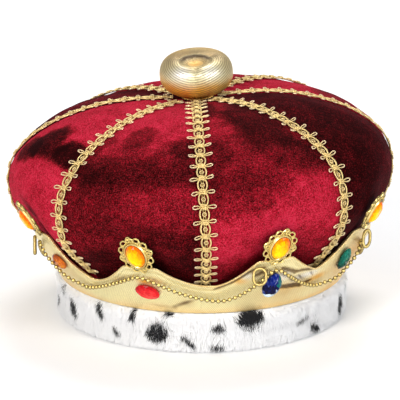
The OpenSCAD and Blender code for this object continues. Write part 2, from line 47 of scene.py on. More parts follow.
FUR_OUTER_R = 106.5
FUR_INNER_R = 95.5
FUR_H = 29.5
FUR_OUTER_ROUND = 5.0
FUR_INNER_ROUND = 2.5
GAP = 0.35
BAND_FOOT_R = 105.6
BAND_FOOT_Z = FUR_H + GAP
BAND_FLARE = 0.56
PEAK_FLARE = 0.40
BAND_KNEE = 30.0
BAND_T = 2.2
VELVET_T = 2.4
CAP_LEAN = 0.06
CAP_SHIFT = 3.2
LEAN_FROM_Z = 31.0
LEAN_OVER = 60.0
BUTTON_R = 26.6
BUTTON_H = 27.8
BUTTON_BELLY = 0.52
BUTTON_POWER = 0.83
BUTTON_Z = 162.8
BUTTON_SHIFT = 1.8
BUTTON_TILT = 8.0
BUTTON_FOOT_R = 8.0
NECK_R = 12.0
NECK_DROP = 3.0
NECK_IN = 7.0
DIMPLE_R = 14.0
DIMPLE_D = 3.0
DIMPLE_FORWARD = 9.5
PLATE_W = 25.0
PLATE_H = 29.5
PLATE_T = 1.3
AMBER_W = 13.0
AMBER_H = 18.0
AMBER_D = 3.9
RIM_H = 2.9
RIM_W = 1.5
BALL_R = 1.5
BALL_PITCH = 4.0
RING_BEND_R = 4.3
RING_STRAIGHT = 3.4
RING_WIRE_R = 1.3

# Rows of the cap: radius, height, puff between two seams, share of the dent behind a peak
SEAM = np.array([
    (9, 159.2, 0, 0), (27, 159.8, 0.4, 0), (46, 160.2, 1, 0), (68, 158.1, 1.8, 0), (89, 152.8, 2.8, 0),
    (108.4, 145, 4, 0), (124, 134.8, 4.8, 0.05), (134.8, 122.6, 4.8, 0.15), (139.2, 109.8, 4, 0.42),
    (139.4, 98, 2.4, 0.8), (137.2, 86.6, 0.8, 1), (130.5, 75, -0.4, 1), (119.5, 63.2, -0.8, 0.8),
    (108.4, 50.4, -0.8, 0.4), (99.4, 30.1, 0, 0),
])
SAG_ROWS = len(SEAM) - 3
LAST_ROW = len(SEAM) - 1
# Gores from the front seam round: puff factor, dent behind the peak
GORES = np.array([
    (1, 8), (0.9, 4.5), (0.1, 4), (0.6, 5.5), (0.2, 8.5), (0.3, 10), (0.9, 11.5), (1.05, 10),
])
DENT_WIDTH = 0.6
SEAM_AZ = np.array([1.5, 45.6, 90.6, 135.8, 181.0, 225.6, 270.4, 315.6])
SEAM_SAG = np.array([0, 0, 0, 0, 0.5, 3.2, 0.8, 2.4])
SEAMS = len(SEAM_AZ)
# Peaks: azimuth, cloth height, height and radius of the plate centre, lean, tilt, half width
PEAKS = np.array([
    (24, 75, 84.4, 132.3, 19, -14, 5), (62, 82, 93.2, 137.6, 26, -8, 5), (112.5, 80, 89.3, 136.2, 26, 0, 5),
    (157.5, 77, 86.5, 134.6, 24, 6, 5), (202.5, 75.5, 85, 134, 24, -5, 5),
    (247.5, 75, 84.3, 134.3, 26, 0, 5), (295.6, 77, 85.8, 136.2, 31, 8, 4.5),
    (339.8, 70, 78.8, 130.1, 18, 19, 4.5),
])
# Low points of the band edge and of the chain: azimuth, height, power before and after
VALLEYS = np.array([
    (4.5, 54.3, 2.2, 1.6), (42, 58, 1.4, 1.4), (90, 56, 1.6, 1.6), (135, 55, 1.6, 1.6),
    (181, 53.5, 1.6, 1.6), (225, 51.5, 1.6, 1.6), (271, 50.5, 1.6, 1.6), (319, 49.3, 1.5, 1.9),
])
SWAGS = np.array([
    (6.5, 41.6, 1.6, 1.9), (46.5, 42.4, 1.65, 2.2), (89, 43.6, 1.9, 1.7), (134.5, 42.8, 1.7, 1.8),
    (180, 42.2, 1.7, 1.7), (226, 41.2, 1.8, 1.7), (270, 41, 1.8, 1.9), (314.5, 40.6, 1.9, 1.3),
])
CHAIN_TOP = np.array([67.6, 72.0, 71.5, 69.0, 67.5, 67.0, 69.5, 61.6])
# Folds of the band and lifts of the chain: azimuth, width, height
FOLDS = [(11.5, 5.0, -1.6), (29.0, 4.0, 1.3), (36.0, 4.5, -1.5), (352.5, 4.0, -1.0)]
CHAIN_LIFTS = [(55.5, 5.8, 4.6), (302.5, 6.8, 3.7)]
# Stones on the band: azimuth, height, width, length, tilt, depth, lean, lift, cut, colour
STONES = {
    "red_oval_1": (341.1, 47.6, 18, 13, -14, 3.4, 29, 0.7, "oval", "red"),
    "blue_pear_1": (23.8, 53.2, 15, 20.5, -12, 4.2, 19, 2.6, "pear", "blue"),
    "green_oval_1": (55.5, 59.0, 12, 19, 4, 3.4, 27, 0.9, "oval", "green"),
    "orange_oval_1": (303.0, 55.4, 17, 13, 10, 3.0, 29, 0.8, "oval", "orange"),
    "red_oval_2": (112.5, 58.0, 18, 13, 0, 3.4, 29, 0.8, "oval", "red"),
    "blue_pear_2": (157.5, 54.6, 15, 21, 4, 4.2, 28, 1.0, "pear", "blue"),
    "green_oval_2": (202.5, 54.4, 13, 18, 0, 3.4, 29, 0.8, "oval", "green"),
    "orange_oval_2": (247.5, 53.5, 17, 13, 0, 3.4, 29, 0.8, "oval", "orange"),
}
# Hanging rings: azimuth, height, radius, turn
RINGS = [
    (18.4, 62.2, 127.9, -10), (62, 71.4, 133.6, -9), (112.5, 68.1, 132.8, 15), (157.5, 65.1, 131.8, -20),
    (202.5, 64.1, 131.2, 18), (247.5, 63.1, 131, -15), (296, 65.1, 132.9, -25),
]

# Looks that only the scene has

# Painted sheen and shade of the velvet's nap, one tone a gore: 0 is dark, 1 is bright
NAP_SHEEN_BASE = [0.50, 0.06, 0.80, 0.36, 0.74, 0.14, 0.82, 0.36]
# Patches of painted sheen and shade on the nap: gore, across (-1 to 1), along (0 top to 1 foot), half
# widths, change of tone
NAP_SHEEN_PATCHES = [
    (7, 0, 0.14, 1.7, 0.21, 0.46), (7, -0.15, 0.29, 0.28, 0.05, -0.32), (7, 0.75, 0.33, 0.3, 0.04, -0.3),
    (7, 0, 0.42, 1.4, 0.05, -0.14), (7, 0.45, 0.52, 0.55, 0.07, 0.16), (7, -0.45, 0.47, 0.3, 0.06, -0.12),
    (7, 0.55, 0.67, 0.4, 0.05, -0.12), (7, 0, 0.92, 1.5, 0.13, -0.18),
    (0, 0.5, 0.24, 0.8, 0.12, -0.32), (0, -0.6, 0.11, 0.6, 0.09, -0.28), (0, -0.5, 0.25, 0.3, 0.05, 0.12),
    (0, -0.55, 0.46, 0.4, 0.04, -0.14), (0, -0.75, 0.37, 0.25, 0.05, -0.2), (0, 0.5, 0.59, 0.6, 0.12, 0.26),
    (0, 0.62, 0.41, 0.4, 0.06, -0.24), (0, -0.5, 0.7, 0.8, 0.12, 0.3), (0, 0.7, 0.74, 0.4, 0.08, 0.12),
    (0, 0.2, 0.95, 1.3, 0.05, -0.4),
    (6, 0, 0.37, 0.45, 0.055, -0.72), (6, -0.4, 0.43, 0.35, 0.045, -0.62),
    (6, 0.7, 0.38, 0.35, 0.045, -0.7), (6, -0.3, 0.95, 1.2, 0.06, -0.3),
    (1, -0.4, 0.2, 0.5, 0.1, 0.1), (1, 0.4, 0.62, 0.6, 0.12, 0.06),
    (2, 0.3, 0.62, 0.8, 0.09, -0.5), (2, -0.4, 0.36, 0.5, 0.06, -0.35), (2, 0, 0.95, 1.4, 0.06, -0.3),
    (3, 0.2, 0.16, 1.2, 0.15, 0.36), (3, -0.3, 0.52, 0.7, 0.1, -0.2), (3, 0.3, 0.76, 0.7, 0.1, 0.22),
    (4, -0.2, 0.56, 0.8, 0.09, -0.5), (4, 0.4, 0.3, 0.5, 0.06, -0.4), (4, 0, 0.95, 1.4, 0.06, -0.3),
    (5, 0.3, 0.24, 0.6, 0.12, 0.16), (5, -0.2, 0.66, 0.9, 0.12, 0.2),
]
# Creases of the band: azimuth and height of both ends, width, depth
CREASES = [
    (4.2, 51.5, 10, 57, 1.3, -1), (10, 57, 15.8, 65, 1.4, -1.6), (15.8, 65, 20.5, 67.5, 1.3, -1.6),
    (17.4, 61, 21.3, 64.5, 1.6, -1.4), (26.9, 65, 33, 59.5, 1.5, -1.5), (33, 59.5, 43.9, 59.2, 1.4, -1.3),
    (27.3, 49, 38, 45.8, 1.8, -1.7), (38, 45.8, 42, 48, 1.6, -1.1), (30.5, 56, 33, 51.5, 0.9, -0.8),
    (35, 55.5, 37.5, 51, 0.9, -0.8), (26.5, 61, 29, 57, 0.9, -0.8), (40, 56, 42, 52, 0.9, -0.7),
    (350, 35.5, 357, 41.5, 2, -0.7), (340, 36, 350, 34, 2, -0.4), (329, 52, 334, 58, 1.6, -0.6),
    (64, 40, 74, 46, 2.4, -0.8), (121, 44, 131, 40, 2.4, -0.9), (145, 62, 151, 54, 1.8, -1),
    (166, 42, 175, 47, 2.4, -0.9), (192, 60, 197, 52, 1.8, -0.9), (212, 40, 222, 44, 2.6, -0.8),
    (256, 46, 262, 38, 2.4, -0.9), (284, 40, 290, 47, 2.2, -0.7),
]
# Tints and painted light of the band: azimuth, height, half width, half height, ochre and painted warm glow,
# painted shade, painted silver highlight
BAND_TINTS_AND_LIGHT = [
    (28, 58.5, 5, 4, 0, 0, 0.95), (36, 53.5, 8, 3, 0, 0, 0.95), (41, 54.8, 6, 2.5, 0, 0, 0.8),
    (15.4, 61.3, 5, 2.6, 0, 0.1, 0.7), (13, 57.3, 5.5, 3.2, 0.65, 0, 0), (44.5, 50, 7, 3, 0.65, 0, 0),
    (341.4, 56.6, 7, 2.6, 0.9, 0, 0), (30, 44, 22, 7, 0.38, 0.16, 0), (354.7, 38.5, 5, 3.2, 0.1, 0.22, 0),
    (298, 48, 26, 14, 0.28, 0.08, 0), (62, 56, 24, 16, 0.6, 0.4, 0), (120, 56, 8, 4, 0.5, 0, 0),
    (166, 56, 9, 4, 0, 0, 0.7), (212, 52, 8, 4, 0.4, 0.1, 0), (250, 60, 7, 4, 0.4, 0, 0),
]
# Black flecks of the fur: azimuth, height, half width, half height, tilt of the fleck
FLECKS = [
    (-70.4, 24.2, 2, 4.2, 0), (-60.2, 14.8, 4, 8.6, 30), (-42.8, 21.5, 3.2, 6.2, 22),
    (-27.1, 24, 2.6, 5.4, -14), (-17, 14.1, 8, 8, 20), (-12.1, 28, 3.4, 2, 0), (-35, 9.2, 1.6, 5, 50),
    (-5.1, 8.2, 2.4, 6.4, 42), (6.4, 17.8, 4.8, 3.2, -10), (5.8, 3.3, 6, 2, 0), (19, 23.5, 10.5, 7.5, 0),
    (43.3, 14, 6.5, 1.3, 14), (50.2, 5.6, 6, 3.2, -30), (71.5, 11.2, 4.5, 8, 10), (84, 20, 3, 5, -15),
    (96, 9, 6.5, 6.5, 10), (110, 22, 4, 5.5, 25), (124, 12, 3, 6.5, -30), (137, 21, 7.5, 6.5, 0),
    (150, 8, 3, 5, 35), (163, 19, 4, 6, -10), (176, 10, 7.5, 6, 15), (190, 22.5, 3, 5, 20),
    (203, 13, 3, 7, -35), (216, 21, 6.5, 6, 0), (229, 9, 4, 5.5, 25), (241, 20, 3, 6, -20),
    (254, 12, 7, 7, 10), (268, 21, 3.5, 5.5, 30), (280, 9, 3, 5, -25),
]
# Crease of the fur, sunk and with painted shade along it: azimuth and height of its points
FUR_CREASE = [(24.3, 14.2), (33.5, 16.0), (38.9, 16.2), (46.4, 15.0)]

# Camera: height angle, distance, lens for a 36 mm sensor, target
CAM_UP = 16.8
CAM_DIST = 1869.0
CAM_LENS = 228.2
CAM_SENSOR = 36.0
CAM_TARGET = (-1.1, 0.0, 81.2)

# Maths helpers


def polar(r, az, z):
    """Points from a radius, an azimuth in degrees and a height."""
    a = np.radians(az)
    return np.stack(np.broadcast_arrays(r * np.sin(a), -r * np.cos(a), z), -1)


def mix(a, b, t):
    return a + (b - a) * t


def clamp01(v):
    return np.clip(v, 0.0, 1.0)


def bell(v):
    return np.exp(-np.square(v))


def unit(v):
    return v / np.maximum(np.linalg.norm(v, axis=-1, keepdims=True), 1e-9)


def turn(az):
    return np.mod(az, FULL)


def apart(a, b):
    """Degrees between two azimuths, the short way round."""
    return np.minimum(turn(a - b), turn(b - a))


def arc(az, at, r):
    """Distance from azimuth at to az on a ring of radius r, negative before it."""
    return (turn(az - at + FULL / 2) - FULL / 2) * DEG * r


def from_line(az, z, start, end, r):
    """Distance from a line on a ring of radius r, and the share along it of its nearest point."""
    x, y = arc(az, start[0], r), z - start[1]
    end_x, end_y = arc(end[0], start[0], r), end[1] - start[1]
    share = clamp01((x * end_x + y * end_y) / (end_x ** 2 + end_y ** 2))
    return np.hypot(x - share * end_x, y - share * end_y), share


def circle(n, phase=0.0):
    """Angles of n even steps round a circle, in radians."""
    return (np.arange(n) + phase) * 2 * math.pi / n


def run_along(path):
    """Length along a path up to each of its points."""
    return np.concatenate([[0], np.cumsum(np.linalg.norm(np.diff(path, axis=0), axis=1))])


def soft_noise(points, scale, seed=0.0):
    """Perlin noise at each point, in about -1 to 1; scale is the size of its features."""
    shift = Vector((seed, -seed, 0.5 * seed))
    values = [noise.noise(Vector(p) + shift) for p in points.reshape(-1, 3) / scale]
    return np.array(values).reshape(points.shape[:-1])


def spline(table, v):
    """Catmull-Rom through the rows of a table at the real-valued row v."""
    last = len(table) - 1
    i = np.clip(np.floor(v).astype(int), 0, last - 1)
    t = (v - i)[..., None]
    p0, p1 = table[np.maximum(i - 1, 0)], table[i]
    p2, p3 = table[i + 1], table[np.minimum(i + 2, last)]
    return 0.5 * (
        2 * p1 + (p2 - p0) * t + (2 * p0 - 5 * p1 + 4 * p2 - p3) * t ** 2
        + (3 * p1 - p0 - 3 * p2 + p3) * t ** 3
    )


# Mesh helpers

UP = np.array([0.0, 0.0, 1.0])


def new_object(name, data):
    obj = bpy.data.objects.new(name, data)
    bpy.context.scene.collection.objects.link(obj)
    return obj


def make_mesh(name, points, faces, materials, smooth=True):
    """One object from points in mm and tables of corner numbers, three or four to a face."""
    mesh = bpy.data.meshes.new(name)
    sizes = np.concatenate([np.full(len(f), f.shape[1], np.int32) for f in faces])
    corners = np.concatenate([f.ravel() for f in faces]).astype(np.int32)
    mesh.vertices.add(len(points))
    mesh.vertices.foreach_set("co", (points * MM).astype(np.float32).ravel())
    mesh.loops.add(len(corners))
    mesh.loops.foreach_set("vertex_index", corners)
    mesh.polygons.add(len(sizes))
    mesh.polygons.foreach_set("loop_start", (np.cumsum(sizes) - sizes).astype(np.int32))
    mesh.polygons.foreach_set("use_smooth", np.full(len(sizes), smooth))
    for material in materials:
        mesh.materials.append(material)
    mesh.update(calc_edges=True)
    mesh.validate()
    return new_object(name, mesh)


def dress(obj, slot, *nodes):
    """Puts a finished piece on the crown, in place of its CAD nodes."""
    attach(obj, "root")
    if nodes:
        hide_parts(*nodes)
    return obj


def set_tone(obj, values):
    """Keeps one to three numbers at each point as a colour attribute for the material."""
    rgba = np.ones((len(obj.data.vertices), 4), np.float32)
    rgba[:, :values.shape[-1]] = values
    layer = obj.data.color_attributes.new("tone", "FLOAT_COLOR", "POINT")
    layer.data.foreach_set("color", rgba.ravel())


def set_uv(obj, per_point):
    """UV in metres from one pair of numbers in mm at each point."""
    layer = obj.data.uv_layers.new(name="cloth")
    index = np.empty(len(obj.data.loops), np.int32)
    obj.data.loops.foreach_get("vertex_index", index)
    layer.data.foreach_set("uv", (per_point[index] * MM).astype(np.float32).ravel())


def grid_faces(rows, cols, wrap_rows=False, wrap_cols=False, start=0):
    """Quads of a grid of points whose numbers run row by row."""
    i = np.arange(rows if wrap_rows else rows - 1)
    j = np.arange(cols if wrap_cols else cols - 1)
    i, j = np.meshgrid(i, j, indexing="ij")
    below, after = (i + 1) % rows * cols, (j + 1) % cols
    quads = np.stack([i * cols + j, below + j, below + after, i * cols + after], -1)
    return quads.reshape(-1, 4) + start


def ball_grid(rows, cols):
    """Points and quads of a ball of radius 1."""
    up, around = np.linspace(-math.pi / 2, math.pi / 2, rows)[:, None], circle(cols)
    points = np.broadcast_arrays(np.cos(up) * np.cos(around), np.cos(up) * np.sin(around), np.sin(up))
    return np.stack(points, -1).reshape(-1, 3), grid_faces(rows, cols, wrap_cols=True)[:, ::-1]


def tube(path, radius, sides, closed, normals):
    """Points, quads and cloth coordinates of a thread along a path."""
    if closed:
        ahead, behind = np.roll(path, -1, 0), np.roll(path, 1, 0)
    else:
        ahead, behind = np.vstack([path[1:], path[-1:]]), np.vstack([path[:1], path[:-1]])
    along = unit(ahead - behind)
    across = unit(np.cross(along, normals))
    up = np.cross(across, along)
    a = circle(sides)[None, :, None]
    ring = np.cos(a) * across[:, None] + np.sin(a) * up[:, None]
    radius = np.broadcast_to(radius, (len(path),))[:, None, None]
    points = (path[:, None] + radius * ring).reshape(-1, 3)
    run = np.cumsum(np.linalg.norm(path - behind, axis=1))
    around = np.abs(np.linspace(-1, 1, sides, endpoint=False)) * math.pi
    uv = np.stack(np.broadcast_arrays(run[:, None], around), -1).reshape(-1, 2)
    return points, grid_faces(len(path), sides, wrap_rows=closed, wrap_cols=True), uv


class Pile:
    """Collects the points, faces, tones and cloth coordinates of one joined mesh."""

    def __init__(self):
        self.points, self.tones, self.uvs = [], [], []
        self.quads, self.tris = [], []
        self.count = 0

    def add(self, points, quads=(), tris=(), tone=(0.0, 0.0, 0.0), uv=None):
        if len(quads):
            self.quads.append(quads + self.count)
        if len(tris):
            self.tris.append(tris + self.count)
        self.points.append(points)
        self.tones.append(np.broadcast_to(tone, (len(points), 3)))
        self.uvs.append(np.zeros((len(points), 2)) if uv is None else uv)
        self.count += len(points)

    def build(self, name, material, smooth=True):
        faces = [np.concatenate(f) for f in (self.quads, self.tris) if f]
        obj = make_mesh(name, np.concatenate(self.points), faces, [material], smooth)
        set_tone(obj, np.concatenate(self.tones))
        set_uv(obj, np.concatenate(self.uvs))
        return obj


# Shader helpers


class Shader:
    """A material with a Principled surface and short calls for the nodes that feed it."""

    def __init__(self, name, **constants):
        self.material = bpy.data.materials.new(name)
        self.material.use_nodes = True
        self.tree = self.material.node_tree
        self.surface = self.tree.nodes["Principled BSDF"]
        self.feed(**constants)
        self.place = self.node("ShaderNodeTexCoord").outputs["Object"]
        self.cloth = self.node("ShaderNodeUVMap", uv_map="cloth").outputs["UV"]

    def feed(self, **sockets):
        for key, value in sockets.items():
            self.put(self.surface.inputs[key.replace("_", " ")], value)
        return self.material

    def put(self, socket, value):
        if isinstance(value, bpy.types.NodeSocket):
            self.tree.links.new(value, socket)
        else:
            socket.default_value = value

    def node(self, kind, inputs=None, **settings):
        made = self.tree.nodes.new(kind)
        for key, value in settings.items():
            setattr(made, key, value)
        for key, value in (inputs or {}).items():
            self.put(made.inputs[key], value)
        return made

    def tone(self):
        source = self.node("ShaderNodeVertexColor", layer_name="tone")
        return self.node("ShaderNodeSeparateColor", {0: source.outputs["Color"]}).outputs

    def noise(self, size, detail=2.0, rough=0.55, stretch=None):
        """Noise whose features are about size millimetres wide."""
        at = self.place
        if stretch:
            at = self.node("ShaderNodeMapping", {"Vector": at, "Scale": stretch}).outputs[0]
        return self.node("ShaderNodeTexNoise", {
            "Vector": at, "Scale": 1 / (size * MM), "Detail": detail, "Roughness": rough}).outputs["Fac"]

    def sway(self, size, detail=2.0, rough=0.55):
        """The same noise about zero."""
        return self.math("SUBTRACT", self.noise(size, detail, rough), 0.5)

    def threads(self, pitch, turn_deg, wobble):
        """Parallel threads on the cloth, pitch millimetres apart."""
        turned = self.node("ShaderNodeMapping", {
            "Vector": self.cloth, "Rotation": (0, 0, math.radians(turn_deg))})
        return self.node("ShaderNodeTexWave", {
            "Vector": turned.outputs[0], "Scale": math.pi / 10 / (pitch * MM), "Distortion": wobble,
            "Detail": 1.0, "Detail Scale": 1.0}, wave_type="BANDS", bands_direction="X").outputs["Fac"]

    def math(self, operation, a, b, clamp=False):
        return self.node("ShaderNodeMath", {0: a, 1: b}, operation=operation, use_clamp=clamp).outputs[0]

    def plus(self, a, b, clamp=False):
        return self.math("ADD", a, b, clamp)

    def times(self, a, b, clamp=False):
        return self.math("MULTIPLY", a, b, clamp)

    def ramp(self, factor, stops):
        made = self.node("ShaderNodeValToRGB", {"Fac": factor})
        elements = made.color_ramp.elements
        while len(elements) < len(stops):
            elements.new(0.5)
        for element, (at, colour) in zip(elements, stops):
            element.position = at
            element.color = (*colour, 1.0)
        return made.outputs["Color"]

    def mix(self, factor, a, b):
        made = self.node("ShaderNodeMix", data_type="RGBA", blend_type="MIX")
        self.put(made.inputs[0], factor)
        for socket, value in ((made.inputs[6], a), (made.inputs[7], b)):
            self.put(socket, value if isinstance(value, bpy.types.NodeSocket) else (*value, 1.0))
        return made.outputs[2]

    def bump(self, height, depth_mm, strength):
        return self.node("ShaderNodeBump", {
            "Height": height, "Distance": depth_mm * MM, "Strength": strength}).outputs[0]


def velvet_material():
    s = Shader("crushed_velvet", Roughness=0.85, Sheen_Weight=0.07, Sheen_Roughness=0.3,
               Sheen_Tint=(1.0, 0.16, 0.22, 1.0), Specular_IOR_Level=0.02)
    # The first tone is the painted sheen and shade of the nap; the noises add random mottling
    nap_sheen = s.tone()[0]
    patch, crush, grain = s.sway(14, 3, 0.6), s.sway(3.6, 3, 0.7), s.sway(0.9, 1, 0.6)
    tone = s.plus(nap_sheen, s.times(patch, 0.36))
    tone = s.plus(tone, s.times(crush, 0.55))
    tone = s.plus(tone, s.times(grain, 1.2), clamp=True)
    # Painted glints of the pile, stronger where the painted sheen is brighter
    glint = s.math("SUBTRACT", s.noise(0.8, 1, 0.6), 0.42, clamp=True)
    colour = s.ramp(tone, [
        (0, (0.009, 0.0003, 0.0004)), (0.25, (0.042, 0.0006, 0.0012)), (0.5, (0.135, 0.0015, 0.005)),
        (0.75, (0.30, 0.0042, 0.015)), (1, (0.48, 0.014, 0.042)),
    ])
    colour = s.mix(s.times(s.times(glint, tone), 0.22), colour, (0.62, 0.30, 0.34))
    height = s.plus(crush, s.times(grain, 0.6))
    return s.feed(Base_Color=colour, Normal=s.bump(height, 0.5, 0.6))


def velvet_back_material():
    s = Shader("velvet_back", Roughness=0.9, Sheen_Weight=0.15, Specular_IOR_Level=0.1)
    knit = s.noise(0.8, 1)
    colour = s.mix(s.noise(9), (0.16, 0.008, 0.02), (0.24, 0.014, 0.035))
    return s.feed(Base_Color=colour, Normal=s.bump(knit, 0.3, 0.5))


def lame_material(name, first, second, metal=0.85, lines=0.38):
    """Gold cloth of two sets of threads (pitch, turn, share); tone is ochre and painted warm glow, painted
    shade and painted silver highlight.
    """
    s = Shader(name, Metallic=metal, Anisotropic=0.3, Specular_IOR_Level=0.4)
    ochre_and_glow, shade, silver_highlight = s.tone()
    one, two = s.threads(first[0], first[1], 0.7), s.threads(second[0], second[1], 0.5)
    weave = s.plus(s.times(one, first[2]), s.times(two, second[2]))
    cloudy = s.times(s.sway(16, 3, 0.6), 0.35)
    colour = s.ramp(s.plus(ochre_and_glow, cloudy, clamp=True), [
        (0, (1, 0.92, 0.50)), (0.4, (0.98, 0.77, 0.37)), (0.75, (0.95, 0.53, 0.11)), (1, (1, 0.46, 0.04)),
    ])
    # Painted silver highlight
    colour = s.mix(silver_highlight, colour, (1.0, 0.98, 0.90))
    broken = s.times(weave, s.plus(s.times(s.noise(1.8), lines), lines * 0.5))
    colour = s.mix(broken, colour, (0.42 - 0.35 * lines, 0.24 - 0.2 * lines, 0.06))
    # Painted shade
    colour = s.mix(shade, colour, (0.09, 0.055, 0.025))
    rough = s.plus(s.times(s.noise(2.5), 0.16), 0.28)
    return s.feed(Base_Color=colour, Roughness=rough, Normal=s.bump(weave, 0.28, 1.0))


def gimp_material():
    s = Shader("gold_gimp", Metallic=0.55, Specular_IOR_Level=0.4, Sheen_Weight=0.1)
    tone = s.tone()
    twist = s.threads(0.9, 35, 0.5)
    colour = s.mix(tone[0], (0.90, 0.64, 0.14), (1.0, 0.76, 0.52))
    colour = s.mix(s.times(s.noise(2.4), 0.4), colour, (1.0, 0.88, 0.45))
    colour = s.mix(s.times(twist, 0.4), colour, (0.36, 0.18, 0.03))
    # Painted shade on the low core threads
    colour = s.mix(tone[1], colour, (0.16, 0.07, 0.015))
    return s.feed(Base_Color=colour, Roughness=0.32, Normal=s.bump(twist, 0.25, 0.9))


def gilt_material(name, dark, light, rough, edge_shade_power):
    s = Shader(name, Metallic=0.92, Specular_IOR_Level=0.5)
    worn = s.noise(2.2, 4, 0.7)
    # The first tone mixes in painted shade of dark brown
    colour = s.mix(s.tone()[0], s.mix(worn, dark, light), (0.055, 0.030, 0.008))
    # Painted shade on faces turned away from the view, which outlines the edges
    turned = s.node("ShaderNodeLayerWeight", {"Blend": 0.5}).outputs["Facing"]
    edge = s.times(s.math("POWER", turned, edge_shade_power), 1.6, clamp=True)
    colour = s.mix(edge, colour, (0.035, 0.018, 0.005))
    roughness = s.plus(s.times(s.noise(1.1, 2), 0.2), rough)
    return s.feed(Base_Color=colour, Roughness=roughness, Normal=s.bump(s.noise(0.9, 3), 0.12, 0.5))


def stone_material(name, deep, mid, light, tint):
    """Foil-backed glass: the first tone, which carries painted light and shade, goes from deep to light; the
    second mixes the tint in.
    """
    s = Shader(name, Roughness=0.16, Specular_IOR_Level=0.10, Coat_Weight=0.05, Coat_Roughness=0.08)
    tone = s.tone()
    cloud = s.times(s.sway(3, 1), 0.3)
    colour = s.ramp(s.plus(tone[0], cloud, clamp=True), [(0, deep), (0.45, mid), (1, light)])
    return s.feed(Base_Color=s.mix(tone[1], colour, tint))


def fur_material():
    s = Shader("white_fur", Roughness=0.85, Specular_IOR_Level=0.1, Sheen_Weight=0.1, Sheen_Roughness=0.5)
    tone = s.tone()
    white = s.mix(s.noise(1.5, 2), (0.97, 0.97, 0.975), (0.86, 0.86, 0.87))
    # Painted shade of grey along the crease of the fur
    white = s.mix(tone[1], white, (0.42, 0.42, 0.43))
    black = s.mix(s.noise(1, 1), (0.004, 0.004, 0.005), (0.035, 0.035, 0.038))
    pile = s.noise(0.5, 2, stretch=(1, 1, 0.25))
    return s.feed(Base_Color=s.mix(tone[0], white, black), Normal=s.bump(pile, 0.25, 0.3))


# Cap

SEAM_DIP_MM = 0.6
SEAM_DIP_WIDTH = 2.2
WRINKLE_MM = 0.7
GORE_ROWS = 112
GORE_COLS = 44
# How much the columns of a gore crowd towards its seams
GORE_CROWD = 0.4
# How far the back of the velvet lies inside the back of its solid
BACK_IN = 0.2


def gore_span(g):
    return turn(SEAM_AZ[(g + 1) % SEAMS] - SEAM_AZ[g])


def cap_frame(g, u, v):
    """Radius, height, normal and bulge of the cap at gore g, across u from -1 to 1, row v."""
    row = spline(SEAM, v)
    slope = spline(SEAM, v + 0.05) - spline(SEAM, v - 0.05)
    normal = unit(np.stack([-slope[..., 1], slope[..., 0]], -1))
    puff = row[..., 2] * GORES[g, 0] * (1 - u * u)
    dent = row[..., 3] * GORES[g, 1] * bell(u / DENT_WIDTH)
    sag = mix(SEAM_SAG[g], SEAM_SAG[(g + 1) % SEAMS], (u + 1) / 2)
    sag = sag * np.sin(math.pi * clamp01(v / SAG_ROWS))
    return row[..., 0], row[..., 1] - sag, normal, puff - dent


def lean(points):
    share = clamp01((points[..., 2] - LEAN_FROM_Z) / LEAN_OVER)
    moved = points.copy()
    moved[..., 0] += CAP_SHIFT * share - CAP_LEAN * (points[..., 2] - LEAN_FROM_Z)
    moved[..., 2] += CAP_LEAN * points[..., 0] * share
    return moved


def cap_point(g, u, v, off):
    r, z, normal, bulge = cap_frame(g, u, v)
    d = bulge + off
    az = SEAM_AZ[g] + gore_span(g) * (u + 1) / 2
    return lean(polar(r + d * normal[..., 0], az, z + d * normal[..., 1]))


def velvet_lift(g, u, v):
    """Dip of the velvet into the seams at both sides, and its soft wrinkles, none at its edges."""
    reach = (1 - np.abs(u)) * spline(SEAM, v)[..., 0] * math.radians(gore_span(g)) / 2
    base = cap_point(g, u, v, 0.0)
    fade = (1 - u ** 4) * clamp01(v / 2) * clamp01((LAST_ROW - v) / 2)
    soft = soft_noise(base, 26.0, g) + 0.5 * soft_noise(base, 11.0, g + 5)
    return WRINKLE_MM * fade * soft - SEAM_DIP_MM * bell(reach / SEAM_DIP_WIDTH)


def nap_sheen_tone(g, u, v, points):
    """Painted sheen and shade of the nap: the base of the gore and its patches, with ragged edges."""
    coarse, fine = soft_noise(points, 17.0, 3.0), soft_noise(points, 7.0, 9.0)
    tone = np.full(u.shape, NAP_SHEEN_BASE[g])
    for gore, across, along, wide, tall, change in NAP_SHEEN_PATCHES:
        if gore == g:
            far = np.hypot((u - across) / wide, (v / LAST_ROW - along) / tall)
            tone += change * clamp01((1.25 - far - 0.35 * coarse - 0.25 * fine) / 0.5)
    return tone + 0.12 * coarse


def border(rows, cols):
    """Numbers of the points round the edge of a grid, in order."""
    end = rows * cols
    return np.concatenate([
        np.arange(cols), np.arange(2 * cols - 1, end, cols),
        np.arange(end - 2, end - cols - 1, -1), np.arange(end - 2 * cols, 0, -cols)])


def make_gore(g, front, back):
    even = np.linspace(-1, 1, GORE_COLS)
    u = mix(even, np.sin(even * math.pi / 2), GORE_CROWD)
    u, v = np.meshgrid(u, np.linspace(0, LAST_ROW, GORE_ROWS))
    outer = cap_point(g, u, v, velvet_lift(g, u, v))
    inner = cap_point(g, u, v, BACK_IN - VELVET_T)
    skin, edge = grid_faces(*u.shape), border(*u.shape)
    after = np.roll(edge, -1)
    inside = skin[:, ::-1] + u.size
    rim = np.stack([edge, after, after + u.size, edge + u.size], -1)
    points = np.concatenate([outer.reshape(-1, 3), inner.reshape(-1, 3)])
    obj = make_mesh(f"velvet_gore_{g + 1}", points, [np.concatenate([skin, inside, rim])], [front, back])
    kind = np.zeros(len(obj.data.polygons), np.int32)
    kind[len(skin):2 * len(skin)] = 1
    obj.data.polygons.foreach_set("material_index", kind)
    set_tone(obj, np.tile(nap_sheen_tone(g, u, v, outer).ravel(), 2)[:, None])
    dress(obj, "velvet", f"gore_{g + 1}")


# Gimp braid

